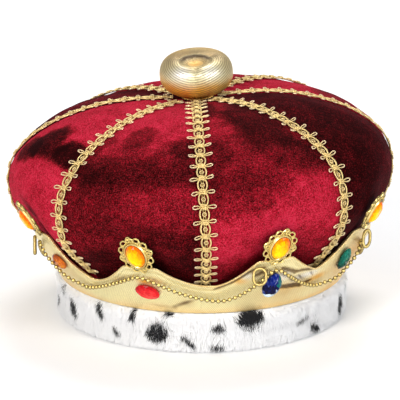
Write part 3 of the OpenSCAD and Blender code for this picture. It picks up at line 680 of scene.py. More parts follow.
BRAID_PITCH = 10.0
BRAID_UNITS = 21
BRAID_START = 7.6
BRAID_END = BRAID_START + BRAID_UNITS * BRAID_PITCH
BRAID_LIFT = 1.0
LOOP_POINTS = 12
LOOP_FROM = 1.8
LOOP_TO = 8.0
LOOP_WIDE = 1.45
LOOP_DROOP = 0.16
LOOP_THREAD = 0.44
KNOT_POINTS = 7
KNOT_HALF = 2.0
KNOT_RISE = 1.1
KNOT_STEP = 1.25
KNOT_THREAD = 0.6
EYE_R = 1.25
EYE_THREAD = 0.42
CORD_POINTS = 10
CORD_SWING = 2.9
CORD_THREAD = 0.55
CORE_THREAD = 0.38
SEAM_FINE = np.linspace(0, LAST_ROW, 400)
SEAM_RUN = run_along(spline(SEAM, SEAM_FINE)[:, :2])


def seam_place(k, s, side, lift):
    """Point beside seam k at run s along it, with the sideways distance and lift, and its normal."""
    s, side, lift = np.broadcast_arrays(s, side, lift)
    v = np.interp(s, SEAM_RUN, SEAM_FINE)
    place, above = np.empty(s.shape + (3,)), np.empty(s.shape + (3,))
    for g, edge, on in ((k, -1, side >= 0), ((k - 1) % SEAMS, 1, side < 0)):
        share = np.abs(side[on]) / math.radians(gore_span(g)) / spline(SEAM, v[on])[..., 0]
        u = edge * (1 - 2 * share)
        place[on] = cap_point(g, u, v[on], lift[on])
        above[on] = cap_point(g, u, v[on], lift[on] + 1.0)
    return place, unit(above - place)


# pale tints a thread towards peach; dark is painted shade
def add_thread(pile, k, s, side, lift, radius, sides, closed, pale, dark=0.0):
    place, normal = seam_place(k, s, side, lift)
    points, quads, uv = tube(place, radius, sides, closed, normal)
    tones = np.stack(np.broadcast_arrays(pale, dark, np.zeros(len(place))), -1)
    pile.add(points, quads, tone=np.repeat(tones, sides, axis=0), uv=uv)


def add_braid_unit(pile, k, s, rng):
    """A loop to each side of seam k and the knot between them, at run s."""
    t = circle(LOOP_POINTS)
    leaf = (1 - np.cos(t)) / 2
    bulge = LOOP_WIDE * np.sin(t) * (0.3 + 0.7 * leaf)
    for way in (-1, 1):
        out = mix(LOOP_FROM, LOOP_TO * rng.uniform(0.94, 1.04), leaf)
        slant = rng.uniform(-0.14, 0.14) + (LOOP_DROOP if way < 0 else 0.0)
        along = s + bulge + slant * (out - LOOP_FROM)
        add_thread(pile, k, along, way * out, BRAID_LIFT + 0.5 * leaf, LOOP_THREAD, 5, True,
                   0.1 + 0.9 * leaf)
    arch = np.linspace(-1, 1, KNOT_POINTS)
    rise_up = 0.3 + KNOT_RISE * np.sqrt(np.maximum(0, 1 - arch ** 2))
    for shift in (-KNOT_STEP, 0.0, KNOT_STEP):
        add_thread(pile, k, s + shift + 0.5 * arch, KNOT_HALF * arch, BRAID_LIFT + rise_up, KNOT_THREAD, 5,
                   False, 0.3)


def add_cords(pile, k):
    """Two swinging cords along the seam and two core threads between them."""
    run = np.linspace(BRAID_START, BRAID_END, BRAID_UNITS * CORD_POINTS + 1)
    swing = math.pi * ((run - BRAID_START) / BRAID_PITCH - 0.5)
    for way in (-1, 1):
        side = way * (0.25 + CORD_SWING * np.sqrt(np.abs(np.sin(swing))))
        over = 0.35 + 0.25 * way * np.cos(swing)
        add_thread(pile, k, run, side, BRAID_LIFT + over, CORD_THREAD, 6, False, 0.35)
    # Core threads, low between the cords, with painted shade
    for way in (-1, 1):
        side = way * (0.35 + 0.55 * np.abs(np.cos(swing)))
        add_thread(pile, k, run, side, BRAID_LIFT + 0.1, CORE_THREAD, 5, False, 0.1, 0.35)


def make_braid(k, material, rng):
    pile, t = Pile(), circle(LOOP_POINTS)
    for n in range(BRAID_UNITS):
        s = BRAID_START + (n + 0.5) * BRAID_PITCH
        add_braid_unit(pile, k, s, rng)
        if n < BRAID_UNITS - 1:
            eye = s + BRAID_PITCH / 2 + EYE_R * np.cos(t)
            add_thread(pile, k, eye, EYE_R * np.sin(t), BRAID_LIFT + 0.5, EYE_THREAD, 5, True, 0.5)
    add_cords(pile, k)
    dress(pile.build(f"gimp_braid_{k + 1}", material), "gimp", f"braid_{k + 1}")


# Button

BUTTON_ROWS = 200
BUTTON_COLS = 192
NECK_ROWS = 6
RIB_PITCH = 1.8
RIB_MM = 0.16
PLEATS = 26
PLEATS_END = 20.0
PLEAT_MM = 0.6
# Pinches from the dimple down the side: azimuth, width in degrees, depth
PINCHES = [(2.0, 12.0, 0.8), (128.0, 10.0, 0.5), (236.0, 10.0, 0.6)]
PINCH_FROM, PINCH_WIDE = 12.0, 6.0
# Radius of the smooth floor of the dimple
DIMPLE_FLOOR_R = 5.5
# Tone of the neck under the ball: ochre with painted warm glow, and painted shade
NECK_GLOW_AND_SHADE = (0.95, 0.45, 0.0)
BUTTON_LOW = BUTTON_H * BUTTON_BELLY
BUTTON_HIGH = BUTTON_H - BUTTON_LOW
BUTTON_AZ = np.arange(BUTTON_COLS) * FULL / BUTTON_COLS


def filled(share):
    return clamp01(share) ** BUTTON_POWER


def button_outline():
    """Half outline of the ball from its foot over the side to the middle of its top."""
    a = np.linspace(math.acos((BUTTON_FOOT_R / BUTTON_R) ** (1 / BUTTON_POWER)), 0, 60)
    belly = np.stack([BUTTON_R * filled(np.cos(a)), -BUTTON_LOW * filled(np.sin(a))], -1)
    a = np.linspace(0, math.pi / 2, 60)[1:]
    side = np.stack([mix(DIMPLE_R, BUTTON_R, filled(np.cos(a))), BUTTON_HIGH * filled(np.sin(a))], -1)
    return np.concatenate([belly, side, [(0.01, BUTTON_HIGH)]])


BUTTON_LINE = button_outline()
BUTTON_RUN = run_along(BUTTON_LINE)


def button_tone(far, z, az):
    """Ochre and painted warm glow on the floor and underside, painted shade on the far rim with a dark fold
    inside it, two lobes of painted silver highlight in front.
    """
    back = clamp01((0.55 - np.cos(np.radians(az))) / 1.2)
    flank = bell(apart(az, 85) / 50) + bell(apart(az, -85) / 50)
    above = clamp01(z / 4)
    inside = (z > 6) & (far < DIMPLE_R)
    # Ochre with painted warm glow below, and ochre on the floor of the dimple and on the back
    low = clamp01((5.0 - z + 1.6 * np.sin(np.radians(3 * az))) / 8.0)
    glow = 0.78 + 0.22 * bell(apart(az, -40) / 30) + 0.15 * bell(apart(az, 4) / 12)
    ochre_and_glow = np.where(inside, 0.70 * bell(far / 12.0), low * glow) + 0.50 * back * above * ~inside
    # Painted shade: a dark fold on the far wall inside the dimple, the far rim, the flanks and the front
    # pinch
    fold_shade = 0.85 * bell((far - DIMPLE_R + 3.0) / 3.2) * inside * back + 0.16 * inside
    rim = 0.55 * bell((far - DIMPLE_R - 4) / 7.0) * above * back
    seam = 0.25 * above * bell(apart(az, 2) / 9) * (far > 9)
    shade = np.maximum(fold_shade, rim) + 0.26 * flank * ~inside * (1 - low) + seam
    # Two lobes of painted silver highlight in front
    highlight_lobes = bell(apart(az, -42) / 26) + 0.8 * bell(apart(az, 42) / 26)
    silver_highlight = highlight_lobes * bell((z - 8.5) / 5.0) * (far > DIMPLE_R - 3)
    return clamp01(np.stack([ochre_and_glow, shade, silver_highlight], -1))


def rib_reach(arc_in, az, far, turned):
    """Distance of each point from the middle of the dimple along the cloth, none on its smooth floor."""
    flat = polar(np.minimum(arc_in, DIMPLE_R), az, 0.0) + [0, DIMPLE_FORWARD, 0]
    bend = 0.8 * np.sin(np.radians(2 * turned + 40)) * clamp01(far / DIMPLE_R)
    reach = np.linalg.norm(flat, axis=-1) + np.maximum(arc_in - DIMPLE_R, 0) + bend
    return reach * clamp01((far - DIMPLE_FLOOR_R) / DIMPLE_FLOOR_R)


def button_lift(s, az, reach, turned):
    """Ribs, the pleats at the foot and the pinches beside the dimple."""
    rib = RIB_MM * np.cos(2 * math.pi * reach / RIB_PITCH)
    pleat = PLEAT_MM * clamp01(1 - s / PLEATS_END)
    pleat = pleat * np.cos(np.radians(az * PLEATS) + 0.8 * np.sin(np.radians(az * 7)))
    pinch = sum(-deep * bell(apart(turned, at) / wide) for at, wide, deep in PINCHES)
    return rib + pleat + pinch * bell((reach - PINCH_FROM) / PINCH_WIDE)


def button_ball():
    """Points, tones and cloth coordinates of the ball, in rows from its foot to the middle of its top."""
    s = np.linspace(0, BUTTON_RUN[-1], BUTTON_ROWS)
    r, z = (np.interp(s, BUTTON_RUN, line) for line in BUTTON_LINE.T)
    out = unit(np.stack([np.gradient(z), -np.gradient(r)], -1))
    s, az = np.meshgrid(s, BUTTON_AZ, indexing="ij")
    ball = polar(r[:, None], az, z[:, None])
    aside, ahead = ball[..., 0], -ball[..., 1] - DIMPLE_FORWARD
    far, turned = np.hypot(aside, ahead), np.degrees(np.arctan2(aside, ahead))
    reach = rib_reach(BUTTON_RUN[-1] - s, az, far, turned)
    bowl = DIMPLE_D * (1 + np.cos(math.pi * clamp01(far / DIMPLE_R))) / 2 * (ball[..., 2] > 0)
    tone = button_tone(far, ball[..., 2], turned)
    ball = ball + button_lift(s, az, reach, turned)[..., None] * polar(out[:, :1], az, out[:, 1:])
    ball = ball - bowl[..., None] * UP
    tilt = np.array(Matrix.Rotation(math.radians(BUTTON_TILT), 3, "X"))
    return ball @ tilt.T + BUTTON_LOW * UP, tone, np.stack([np.radians(az) * BUTTON_R, reach], -1)


def make_button(material):
    ball, tone, cloth = button_ball()
    az, z = np.meshgrid(BUTTON_AZ, np.linspace(-NECK_DROP, NECK_IN, NECK_ROWS))
    neck = polar(NECK_R - 0.5 + 0.4 * np.cos(np.radians(az * PLEATS)), az, z)
    upright = np.concatenate([ball.reshape(-1, 3), neck.reshape(-1, 3), [ball[0].mean(0), ball[-1].mean(0)]])
    tilt = np.array(Matrix.Rotation(-math.atan(CAP_LEAN), 3, "Y"))
    points = upright @ tilt.T + lean(BUTTON_Z * UP) + [BUTTON_SHIFT, 0, 0]
    count, end, first = tone[..., 0].size, len(points) - 1, np.arange(BUTTON_COLS)
    after = np.roll(first, -1)
    top = count - BUTTON_COLS
    caps = np.concatenate([
        np.stack([after, first, np.full(BUTTON_COLS, end - 1)], -1),
        np.stack([top + first, top + after, np.full(BUTTON_COLS, end)], -1)])
    skin = grid_faces(BUTTON_ROWS, BUTTON_COLS, wrap_cols=True)[:, ::-1]
    neck_skin = grid_faces(NECK_ROWS, BUTTON_COLS, wrap_cols=True, start=count)[:, ::-1]
    obj = make_mesh("lame_button", points, [np.concatenate([skin, neck_skin]), caps], [material])
    set_tone(obj, np.concatenate([tone.reshape(-1, 3), np.tile(NECK_GLOW_AND_SHADE, (az.size + 2, 1))]))
    neck_cloth = np.stack([np.radians(az) * NECK_R, z], -1).reshape(-1, 2)
    ends = [(0, 0), (0, BUTTON_RUN[-1])]
    set_uv(obj, np.concatenate([cloth.reshape(-1, 2), neck_cloth, ends]))
    dress(obj, "gold_lame", "top_button")


# Band

ROUND_FROM = 0.88
BAND_COLS = 1100
BAND_ROWS = 36
BAND_IN = 0.4
TOP_IN = 0.6
ROLL_ROWS = 5
EDGE_ROLL = 0.35
BAND_SWELL = 0.25
LIP_MM = 0.35
LIP_WIDE = 2.6
PUCKER_MM = 0.10
PUCKER_PITCH = 2.6
# Radius at which the weave of the band is measured
CLOTH_R = 115.0
# Heights of the weave on the back and on the foot start past those of the face
BACK_WEAVE, FOOT_WEAVE = 90, 180
BACK_TONE = (0.3, 0.0, 0.0)
EDGE_POINTS = 1400
EDGE_TONE = (0.45, 0.0, 0.0)


def rise(share, power):
    t = clamp01((share - ROUND_FROM) / (1 - ROUND_FROM))
    return np.power(share, power) - power * (1 - ROUND_FROM) / 2 * t * t


def scallop(az, lows, tops, wide):
    """Height of a scalloped line between two peaks; wide is 1 where the line is flat across a peak."""
    height = np.zeros(np.shape(az))
    for k in range(SEAMS):
        j = (k - 1) % SEAMS
        before = PEAKS[j, 0]
        run, at = turn(PEAKS[k, 0] - before), turn(az - before)
        low_at, low = turn(lows[k, 0] - before), lows[k, 1]
        left = clamp01((low_at - at) / (low_at - wide * PEAKS[j, 6]))
        right = clamp01((at - low_at) / (run - wide * PEAKS[k, 6] - low_at))
        z = np.where(at < low_at, low + (tops[j] - low) * rise(left, lows[k, 2]),
                     low + (tops[k] - low) * rise(right, lows[k, 3]))
        height = np.where(at < run, z, height)
    return height


def band_top(az):
    return scallop(az, VALLEYS, PEAKS[:, 1], 1.0)


def band_fold(az):
    return sum(out * bell(apart(az, at) / wide) for at, wide, out in FOLDS)


def band_r(z):
    h = z - BAND_FOOT_Z
    return BAND_FOOT_R + BAND_FLARE * np.minimum(h, BAND_KNEE) + PEAK_FLARE * np.maximum(0, h - BAND_KNEE)


def crease_depth(az, z):
    """Pressed lines on the band, each between two ends."""
    total = np.zeros(np.broadcast(az, z).shape)
    for az0, z0, az1, z1, wide, deep in CREASES:
        far, share = from_line(az, z, (az0, z0), (az1, z1), band_r((z0 + z1) / 2))
        total += deep * bell(far / wide) * (0.35 + 0.65 * np.sin(math.pi * mix(0.15, 0.85, share)))
    return total


def band_tones(az, z):
    """Ochre and painted warm glow, painted shade and painted silver highlight of the band: peach at the
    foot, pale in front, painted shade in the creases.
    """
    t = clamp01((z - BAND_FOOT_Z) / (band_top(az) - BAND_FOOT_Z))
    # The creases get painted shade and more ochre
    press = clamp01(-crease_depth(az, z))
    side = 0.5 - 0.5 * np.cos(np.radians(az + 25))
    ochre_and_glow = 0.04 + 0.26 * side + 0.42 * bell(t / 0.15) + 0.4 * press
    shade = np.minimum(0.8, 1.5 * clamp01(press - 0.25))
    tones = np.stack([ochre_and_glow, shade, np.zeros(z.shape)], -1)
    for at, height, wide, tall, *change in BAND_TINTS_AND_LIGHT:
        far = np.hypot(arc(az, at, band_r(height)) / wide, (z - height) / tall)
        tones += bell(far)[..., None] * change
    return tones


def band_relief(az, z, t):
    """Swell, creases and ripples of the face of the band, with a pressed and puckered lip at its top."""
    below = z[-1] - z
    fade = np.sin(math.pi * clamp01(t * 0.96 + 0.03)) ** 0.5
    surface = polar(band_r(z), az, z)
    ripple = 0.25 * soft_noise(surface, 12.0, 2.0) + 0.18 * soft_noise(surface * [1, 1, 2.5], 5.0, 6.0)
    swell = BAND_SWELL * np.sin(math.pi * t) ** 0.7
    lip = LIP_MM * (clamp01((LIP_WIDE + 0.6 - below) / 1.2) - 1.3 * bell((below - LIP_WIDE - 0.8) / 0.9))
    pucker = PUCKER_MM * np.cos(az * DEG * CLOTH_R * 2 * math.pi / PUCKER_PITCH) * clamp01(LIP_WIDE - below)
    return (swell + crease_depth(az, z) + ripple) * fade + lip * clamp01(t * 4) + pucker


def make_band(material):
    az, t = np.meshgrid(np.arange(BAND_COLS) * FULL / BAND_COLS, np.linspace(0, 1, BAND_ROWS))
    z = mix(BAND_FOOT_Z + BAND_IN, band_top(az) - TOP_IN, t)
    r = band_r(z) + band_fold(az) * np.interp(t, [0, 0.58, 1], [0, 1, 0.4])
    face_r = r + band_relief(az, z, t)
    q = np.linspace(0, 1, ROLL_ROWS + 2)[1:-1, None]
    over = np.sin(math.pi * q)
    roll = polar(face_r[-1] - BAND_T / 2 * (1 - np.cos(math.pi * q)) + EDGE_ROLL * over, az[0],
                 z[-1] + 0.9 * BAND_T / 2 * over)
    foot = polar(r[0] - BAND_T * np.array([[0.8], [0.2]]), az[0], BAND_FOOT_Z)
    rings = np.concatenate([polar(face_r, az, z), roll, polar((r - BAND_T)[::-1], az, z[::-1]), foot])
    skin = grid_faces(len(rings), BAND_COLS, wrap_rows=True, wrap_cols=True)
    obj = make_mesh("lame_band", rings.reshape(-1, 3), [skin], [material])
    tone = np.tile(BACK_TONE, (len(rings), BAND_COLS, 1))
    tone[:BAND_ROWS] = band_tones(az, z)
    set_tone(obj, tone.reshape(-1, 3))
    foot_heights = z[:1] + FOOT_WEAVE + [[0], [2]]
    heights = np.concatenate([z, z[-1] + q * BAND_T * 1.5, z[::-1] + BACK_WEAVE, foot_heights])
    cloth = np.stack(np.broadcast_arrays(az[0] * DEG * CLOTH_R, heights), -1)
    set_uv(obj, cloth.reshape(-1, 2))
    dress(obj, "gold_lame", "band")


def make_edge_stitches(material):
    """A rolled edge of fine thread along the scalloped top of the band."""
    az = np.linspace(0, FULL, EDGE_POINTS, endpoint=False)
    top = band_top(az)
    path = polar(band_r(top) + 0.4 * band_fold(az) - 0.2, az, top - 0.1)
    width = 0.62 + 0.14 * np.cos(np.arange(EDGE_POINTS) * math.pi / 2)
    points, quads, uv = tube(path, width, 6, True, unit(polar(1.0, az, 0.4)))
    pile = Pile()
    pile.add(points, quads, tone=EDGE_TONE, uv=uv)
    dress(pile.build("band_edge", material), "gold_lame")


# Settings and stones

HOLES = 12
NOTCH = 0.11
TIP = 0.07
TIP_POWER = 24
HOLE_W = 3.5
HOLE_H = 4.1
TINY_R = 0.72
TINY_SPREAD = 1.45
PLATE_SIDES = 96
PLATE_BEVEL = 0.23
PLATE_HALF_T = 0.42
# The curve of a hole lies this share inside it, to leave room for the bevel
HOLE_SHARE = 0.9
# Threads on the plate: how far inside its outline, and share of the hole and radius of the others
THREAD_IN = 0.9
THREAD_R = 0.42
LARGE_THREAD = (1.14, 0.33)
SMALL_THREAD = (1.5, 0.24)
SEAT_W = AMBER_W + 2 * GAP
SEAT_H = AMBER_H + 2 * GAP
RIM_SIDES = 48
# Section of the rim round the stone: distance out, height
RIM_WALL = [
    (0.0, 0.1), (0.0, RIM_H - 0.35), (0.35, RIM_H), (0.8, RIM_H - 0.1), (RIM_W - 0.25, 1.9),
    (RIM_W, PLATE_T),
]
BEADS = 44
BEAD_R = 0.5
BEAD_OUT = RIM_W + 0.55
SHARP_DEG = 40


def ring_place(az, r, z, lean_deg, tilt):
    """The matrix that puts a flat piece on the ring, in mm."""
    return (Matrix.Translation(Vector(polar(r, az, z)))
            @ Matrix.Rotation(math.radians(az), 4, "Z")
            @ Matrix.Rotation(math.radians(90 + lean_deg), 4, "X")
            @ Matrix.Rotation(math.radians(tilt), 4, "Z"))


def placed(points, matrix):
    m = np.array(matrix)
    return points @ m[:3, :3].T + m[:3, 3]


def at_height(line, z):
    return np.column_stack([line, np.full(len(line), z)])


def oval(w, h, n, phase=0.0):
    a = circle(n, phase)
    return np.stack([w / 2 * np.cos(a), h / 2 * np.sin(a)], -1)


def lobed(w, h, n):
    a = circle(n)
    share = 1 - NOTCH * (1 - np.abs(np.cos(HOLES / 2 * a))) + TIP * np.abs(np.cos(2 * a)) ** TIP_POWER
    return share[:, None] * oval(w, h, n)


def plate_holes():
    """Centre, outline and size of each hole: eight large ovals and four clusters of three small ones."""
    ring = oval((PLATE_W + SEAT_W) / 2 + RIM_W, (PLATE_H + SEAT_H) / 2 + RIM_W, HOLES)
    holes = []
    for i, (a, centre) in enumerate(zip(circle(HOLES), ring)):
        if i % 3:
            spin = np.array([[math.cos(a), math.sin(a)], [-math.sin(a), math.cos(a)]])
            holes.append((centre, oval(HOLE_W, HOLE_H, 16) @ spin, False))
            continue
        for b in (0, 2.1, -2.1):
            tiny = centre + TINY_SPREAD * np.array([math.cos(a + b), math.sin(a + b)])
            holes.append((tiny, oval(2 * TINY_R, 2 * TINY_R, 8), True))
    return holes


def pierced_plate():
    """The flat pierced plate as a filled curve with a bevel, as points and triangles in mm."""
    curve = bpy.data.curves.new("plate", "CURVE")
    curve.dimensions = "2D"
    curve.fill_mode = "BOTH"
    curve.extrude = PLATE_HALF_T
    curve.bevel_depth = PLATE_BEVEL
    curve.bevel_resolution = 1
    outline = lobed(PLATE_W - 2 * PLATE_BEVEL, PLATE_H - 2 * PLATE_BEVEL, PLATE_SIDES)
    for line in [outline] + [centre + hole * HOLE_SHARE for centre, hole, _ in plate_holes()]:
        loop = curve.splines.new("POLY")
        loop.points.add(len(line) - 1)
        for point, (x, y) in zip(loop.points, line):
            point.co = (x, y, 0, 1)
        loop.use_cyclic_u = True
    holder = bpy.data.objects.new("plate", curve)
    mesh = bpy.data.meshes.new_from_object(holder)
    mesh.calc_loop_triangles()
    points = np.array([v.co for v in mesh.vertices]) + PLATE_T / 2 * UP
    tris = np.array([tuple(tri.vertices) for tri in mesh.loop_triangles])
    bpy.data.objects.remove(holder)
    bpy.data.curves.remove(curve)
    bpy.data.meshes.remove(mesh)
    return points, tris


def plate_trim():
    """Threads round the plate and its holes, the ring of beads and the rim, each as points and quads."""
    line = lobed(PLATE_W - THREAD_IN, PLATE_H - THREAD_IN, PLATE_SIDES)
    trim = [tube(at_height(line, PLATE_T - 0.05), THREAD_R, 6, True, UP)[:2]]
    for centre, hole, small in plate_holes():
        grow, thick = SMALL_THREAD if small else LARGE_THREAD
        trim.append(tube(at_height(centre + hole * grow, PLATE_T), thick, 5, True, UP)[:2])
    ball, ball_faces = ball_grid(6, 8)
    for centre in at_height(oval(SEAT_W + 2 * BEAD_OUT, SEAT_H + 2 * BEAD_OUT, BEADS), PLATE_T + 0.35):
        trim.append((centre + BEAD_R * ball, ball_faces))
    rim = [at_height(oval(SEAT_W + 2 * out, SEAT_H + 2 * out, RIM_SIDES), z) for out, z in RIM_WALL]
    trim.append((np.concatenate(rim),
                 grid_faces(len(rim), RIM_SIDES, wrap_rows=True, wrap_cols=True)[:, ::-1]))
    return trim


def make_settings(material):
    plate, tris = pierced_plate()
    # Painted shade on the plate, darker on its lower faces and sides than on its top
    deep = mix(0.75, 0.25, clamp01((plate[:, 2:] - PLATE_T + 0.5) / 0.5))
    trim = plate_trim()
    for k, (az, _, z, r, lean_deg, tilt, _) in enumerate(PEAKS):
        matrix = ring_place(az, r, z, lean_deg, tilt)
        pile = Pile()
        pile.add(placed(plate, matrix), tris=tris, tone=deep)
        for points, quads in trim:
            pile.add(placed(points, matrix), quads)
        obj = pile.build(f"filigree_{k + 1}", material)
        obj.data.set_sharp_from_angle(angle=math.radians(SHARP_DEG))
        dress(obj, "gilt", f"setting_{k + 1}")


PEAR_TAPER = 0.42
PEAR_POWER = 1.6
# Rings of a cut stone: share of the outline, share of the depth, half step of turn
CUT_ROWS = [(0.96, 0.0, 0), (1.0, 0.22, 0), (1.0, 0.32, 0), (0.82, 0.68, 1), (0.58, 1.0, 0)]
STONE_SIDES = 16


def pear(w, h, n, phase=0.0):
    a = circle(n, phase)
    narrow = 1 - PEAR_TAPER * np.power(clamp01(np.sin(a)), PEAR_POWER)
    return np.stack([w / 2 * np.cos(a) * narrow, h / 2 * np.sin(a)], -1)


def cut_stone(shape, w, h, depth):
    """Triangles of a cut stone, each with corners of its own so that it can have its own tone."""
    n = STONE_SIDES
    foot, low, girdle, mid, table = (
        at_height(shape(w, h, n, 0.5 * half) * share, depth * up) for share, up, half in CUT_ROWS)
    tris = []
    for i in range(n):
        j, b = (i + 1) % n, (i - 1) % n
        tris += [(foot[i], foot[j], low[j]), (foot[i], low[j], low[i])]
        tris += [(low[i], low[j], girdle[j]), (low[i], girdle[j], girdle[i])]
        tris += [(girdle[i], girdle[j], mid[i]), (girdle[i], mid[i], mid[b])]
        tris += [(mid[b], mid[i], table[i]), (mid[i], table[j], table[i])]
    centre = depth * UP
    inner = (centre + table) / 2
    for i in range(n):
        j = (i + 1) % n
        tris += [(table[i], table[j], inner[j]), (table[i], inner[j], inner[i])]
        tris += [(inner[i], inner[j], centre), (foot[j], foot[i], 0 * UP)]
    return np.array(tris)


# Painted light of a cut stone: where its painted glow lies, tone at the middle, how much the painted glow
# and the painted shade at its rim change it
STONE_LIGHT_AND_SHADE = {
    "amber": ((-0.50, -0.55), 0.78, 0.55, 0.60),
    "red": ((0.35, -0.60), 0.48, 0.40, 0.20),
    "blue": ((0.0, 0.0), 0.38, 0.0, 0.0),
    "green": ((-0.3, 0.6), 0.40, 0.50, 0.20),
    "orange": ((0.3, -0.5), 0.55, 0.50, 0.30),
}
# Colours of a stone: deep, middle, light, tint
STONE_COLOURS = {
    "amber": [(0.70, 0.10, 0.0), (0.92, 0.28, 0.0), (0.98, 0.66, 0.0), (1, 0.9, 0.5)],
    "red": [(0.30, 0.003, 0.006), (0.68, 0.012, 0.018), (0.95, 0.16, 0.12), (1, 0.7, 0.6)],
    "blue": [(0.001, 0.001, 0.018), (0.002, 0.012, 0.17), (0.75, 0.90, 1.0), (0.0, 0.12, 0.11)],
    "green": [(0.0, 0.012, 0.009), (0.002, 0.085, 0.058), (0.03, 0.32, 0.22), (0.6, 0.9, 0.7)],
    "orange": [(0.16, 0.02, 0.003), (0.48, 0.10, 0.008), (0.90, 0.36, 0.04), (1, 0.8, 0.5)],
}
# Painted reflections and highlight on facets of the blue pears: across and up (-1 to 1), half widths, tone,
# share of green
PEAR_FACETS = [
    (0.0, 0.62, 0.55, 0.30, 0.42, 0.0), (0.60, 0.45, 0.40, 0.50, 0.35, 0.85),
    (-0.1, -0.22, 1.0, 0.34, 0.02, 0.0), (0.62, -0.45, 0.32, 0.32, 0.55, 0.0),
    (-0.05, -0.82, 0.50, 0.26, 1.0, 0.0),
]
# Share of the outline from which the painted shade at the rim starts
RIM_SHADE_FROM = 0.62


def stone_tones(tris, colour, rng):
    """Tone and tint of each facet: painted light brighter on one side of the stone, and painted shade deeper
    at its rim.
    """
    towards, base, glow, rim = STONE_LIGHT_AND_SHADE[colour]
    middle = tris.mean(1)[:, :2] / np.abs(tris[:, :, :2]).max((0, 1))
    far = np.linalg.norm(middle, axis=1)
    tone = base + glow * middle @ np.array(towards) - rim * clamp01((far - RIM_SHADE_FROM) / (1 - RIM_SHADE_FROM))
    tint = np.zeros(len(tris))
    for across, up, wide, tall, value, green in PEAR_FACETS if colour == "blue" else []:
        inside = np.hypot((middle[:, 0] - across) / wide, (middle[:, 1] - up) / tall) < 1
        tone[inside], tint[inside] = value, green
    tone = clamp01(tone + rng.uniform(-0.13, 0.13, len(tris)))
    return np.stack([tone, tint, tint], -1)


def make_stone(name, node, matrix, tris, colour, materials, rng):
    tones = np.repeat(stone_tones(tris, colour, rng), 3, axis=0)
    pile = Pile()
    pile.add(placed(tris.reshape(-1, 3), matrix), tris=np.arange(len(tones)).reshape(-1, 3), tone=tones)
    dress(pile.build(name, materials[colour], smooth=False), f"{colour}_stone", node)


def make_stones(materials, rng):
    amber = cut_stone(oval, AMBER_W, AMBER_H, AMBER_D)
    for k, (az, _, z, r, lean_deg, tilt, _) in enumerate(PEAKS):
        matrix = ring_place(az, r, z, lean_deg, tilt) @ Matrix.Translation((0, 0, PLATE_T + GAP))
        make_stone(f"amber_stone_{k + 1}", f"amber_{k + 1}", matrix, amber, "amber", materials, rng)
    for name, (az, z, w, h, tilt, depth, lean_deg, lift, cut, colour) in STONES.items():
        matrix = ring_place(az, band_r(z) + lift, z, lean_deg, tilt)
        tris = cut_stone(pear if cut == "pear" else oval, w, h, depth)
        make_stone(f"cut_{name}", name, matrix, tris, colour, materials, rng)


# Chain and rings

CHAIN_SLACK = 0.3
CHAIN_SAMPLES = 720
CHAIN_OFF = (BALL_R + GAP) / math.cos(math.atan(BAND_FLARE)) + CHAIN_SLACK
LINK_R = 0.45
# The links between the balls carry painted shade of the gaps between them
LINK_SHADE = (0.85, 0.0, 0.0)
RING_POINTS = 160
RING_SIDES = 10
RIB_STEPS = 4


def chain_place(az):
    z = scallop(az, SWAGS, CHAIN_TOP, 0.0)
    lift = np.max([out * np.exp(-(apart(az, at) / wide) ** 4) for at, wide, out in CHAIN_LIFTS], axis=0)
    return polar(band_r(z) + CHAIN_OFF + np.maximum(0, band_fold(az)) + lift, az, z)


def make_chain(material):
    fine = np.linspace(0, FULL, CHAIN_SAMPLES + 1)
    run = run_along(chain_place(fine))
    count = 2 * int(run[-1] / BALL_PITCH / 2)
    balls = chain_place(np.interp(run[-1] * np.arange(count) / count, run, fine))
    pile = Pile()
    points, quads = ball_grid(9, 12)
    for ball in balls:
        pile.add(ball + BALL_R * points, quads)
    rods = np.stack([balls, mix(balls, np.roll(balls, -1, 0), 0.5)], 1).reshape(-1, 3)
    points, quads, uv = tube(rods, LINK_R, 6, True, unit(rods * [1, 1, 0]))
    pile.add(points, quads, uv=uv, tone=LINK_SHADE)
    dress(pile.build("ball_chain", material), "gilt_chain", "bead_chain", "chain_thread")


def ring_path():
    """The long oval of a hanging ring: a straight side and a bend, then both turned half round."""
    run = 2 * (math.pi * RING_BEND_R + RING_STRAIGHT) * np.arange(RING_POINTS // 2) / RING_POINTS
    a = np.maximum(0, run - RING_STRAIGHT) / RING_BEND_R
    up = np.minimum(run, RING_STRAIGHT) - RING_STRAIGHT / 2
    side = at_height(np.stack([RING_BEND_R * np.cos(a), up + RING_BEND_R * np.sin(a)], -1), 0.0)
    return np.concatenate([side, -side])


def make_rings(material):
    ribs = RING_WIRE_R * (0.86 + 0.14 * np.cos(2 * math.pi * np.arange(RING_POINTS) / RIB_STEPS))
    points, quads, uv = tube(ring_path(), ribs, RING_SIDES, True, UP)
    for i, (az, z, r, turned) in enumerate(RINGS):
        matrix = (Matrix.Translation(Vector(polar(r, az, z)))
                  @ Matrix.Rotation(math.radians(az + turned), 4, "Z")
                  @ Matrix.Rotation(math.radians(90), 4, "X"))
        pile = Pile()
        pile.add(placed(points, matrix), quads, uv=uv)
        dress(pile.build(f"ribbed_ring_{i + 1}", material), "gilt_chain", f"hanging_ring_{i + 1}")


# Fur

HAIRS = 52000
HAIR_MM = 6.2
HAIR_W = 0.34
FUR_SINK = 1.2
FUR_COLS = 360
TOP_POINTS = 5
OUTER_POINTS = 9
CREASE_WIDE = 1.6
HAIR_CREASE_WIDE = 2.4
# Corners of a strand: number of them, share of its length
STRAND = (((0, 1), 0.15), ((2, 3), 0.5), ((4,), 0.9))


def corner(cx, cz, r, start, end, n):
    a = np.radians(np.linspace(start, end, n))
    return np.stack([cx + r * np.cos(a), cz + r * np.sin(a), np.cos(a), np.sin(a)], -1)


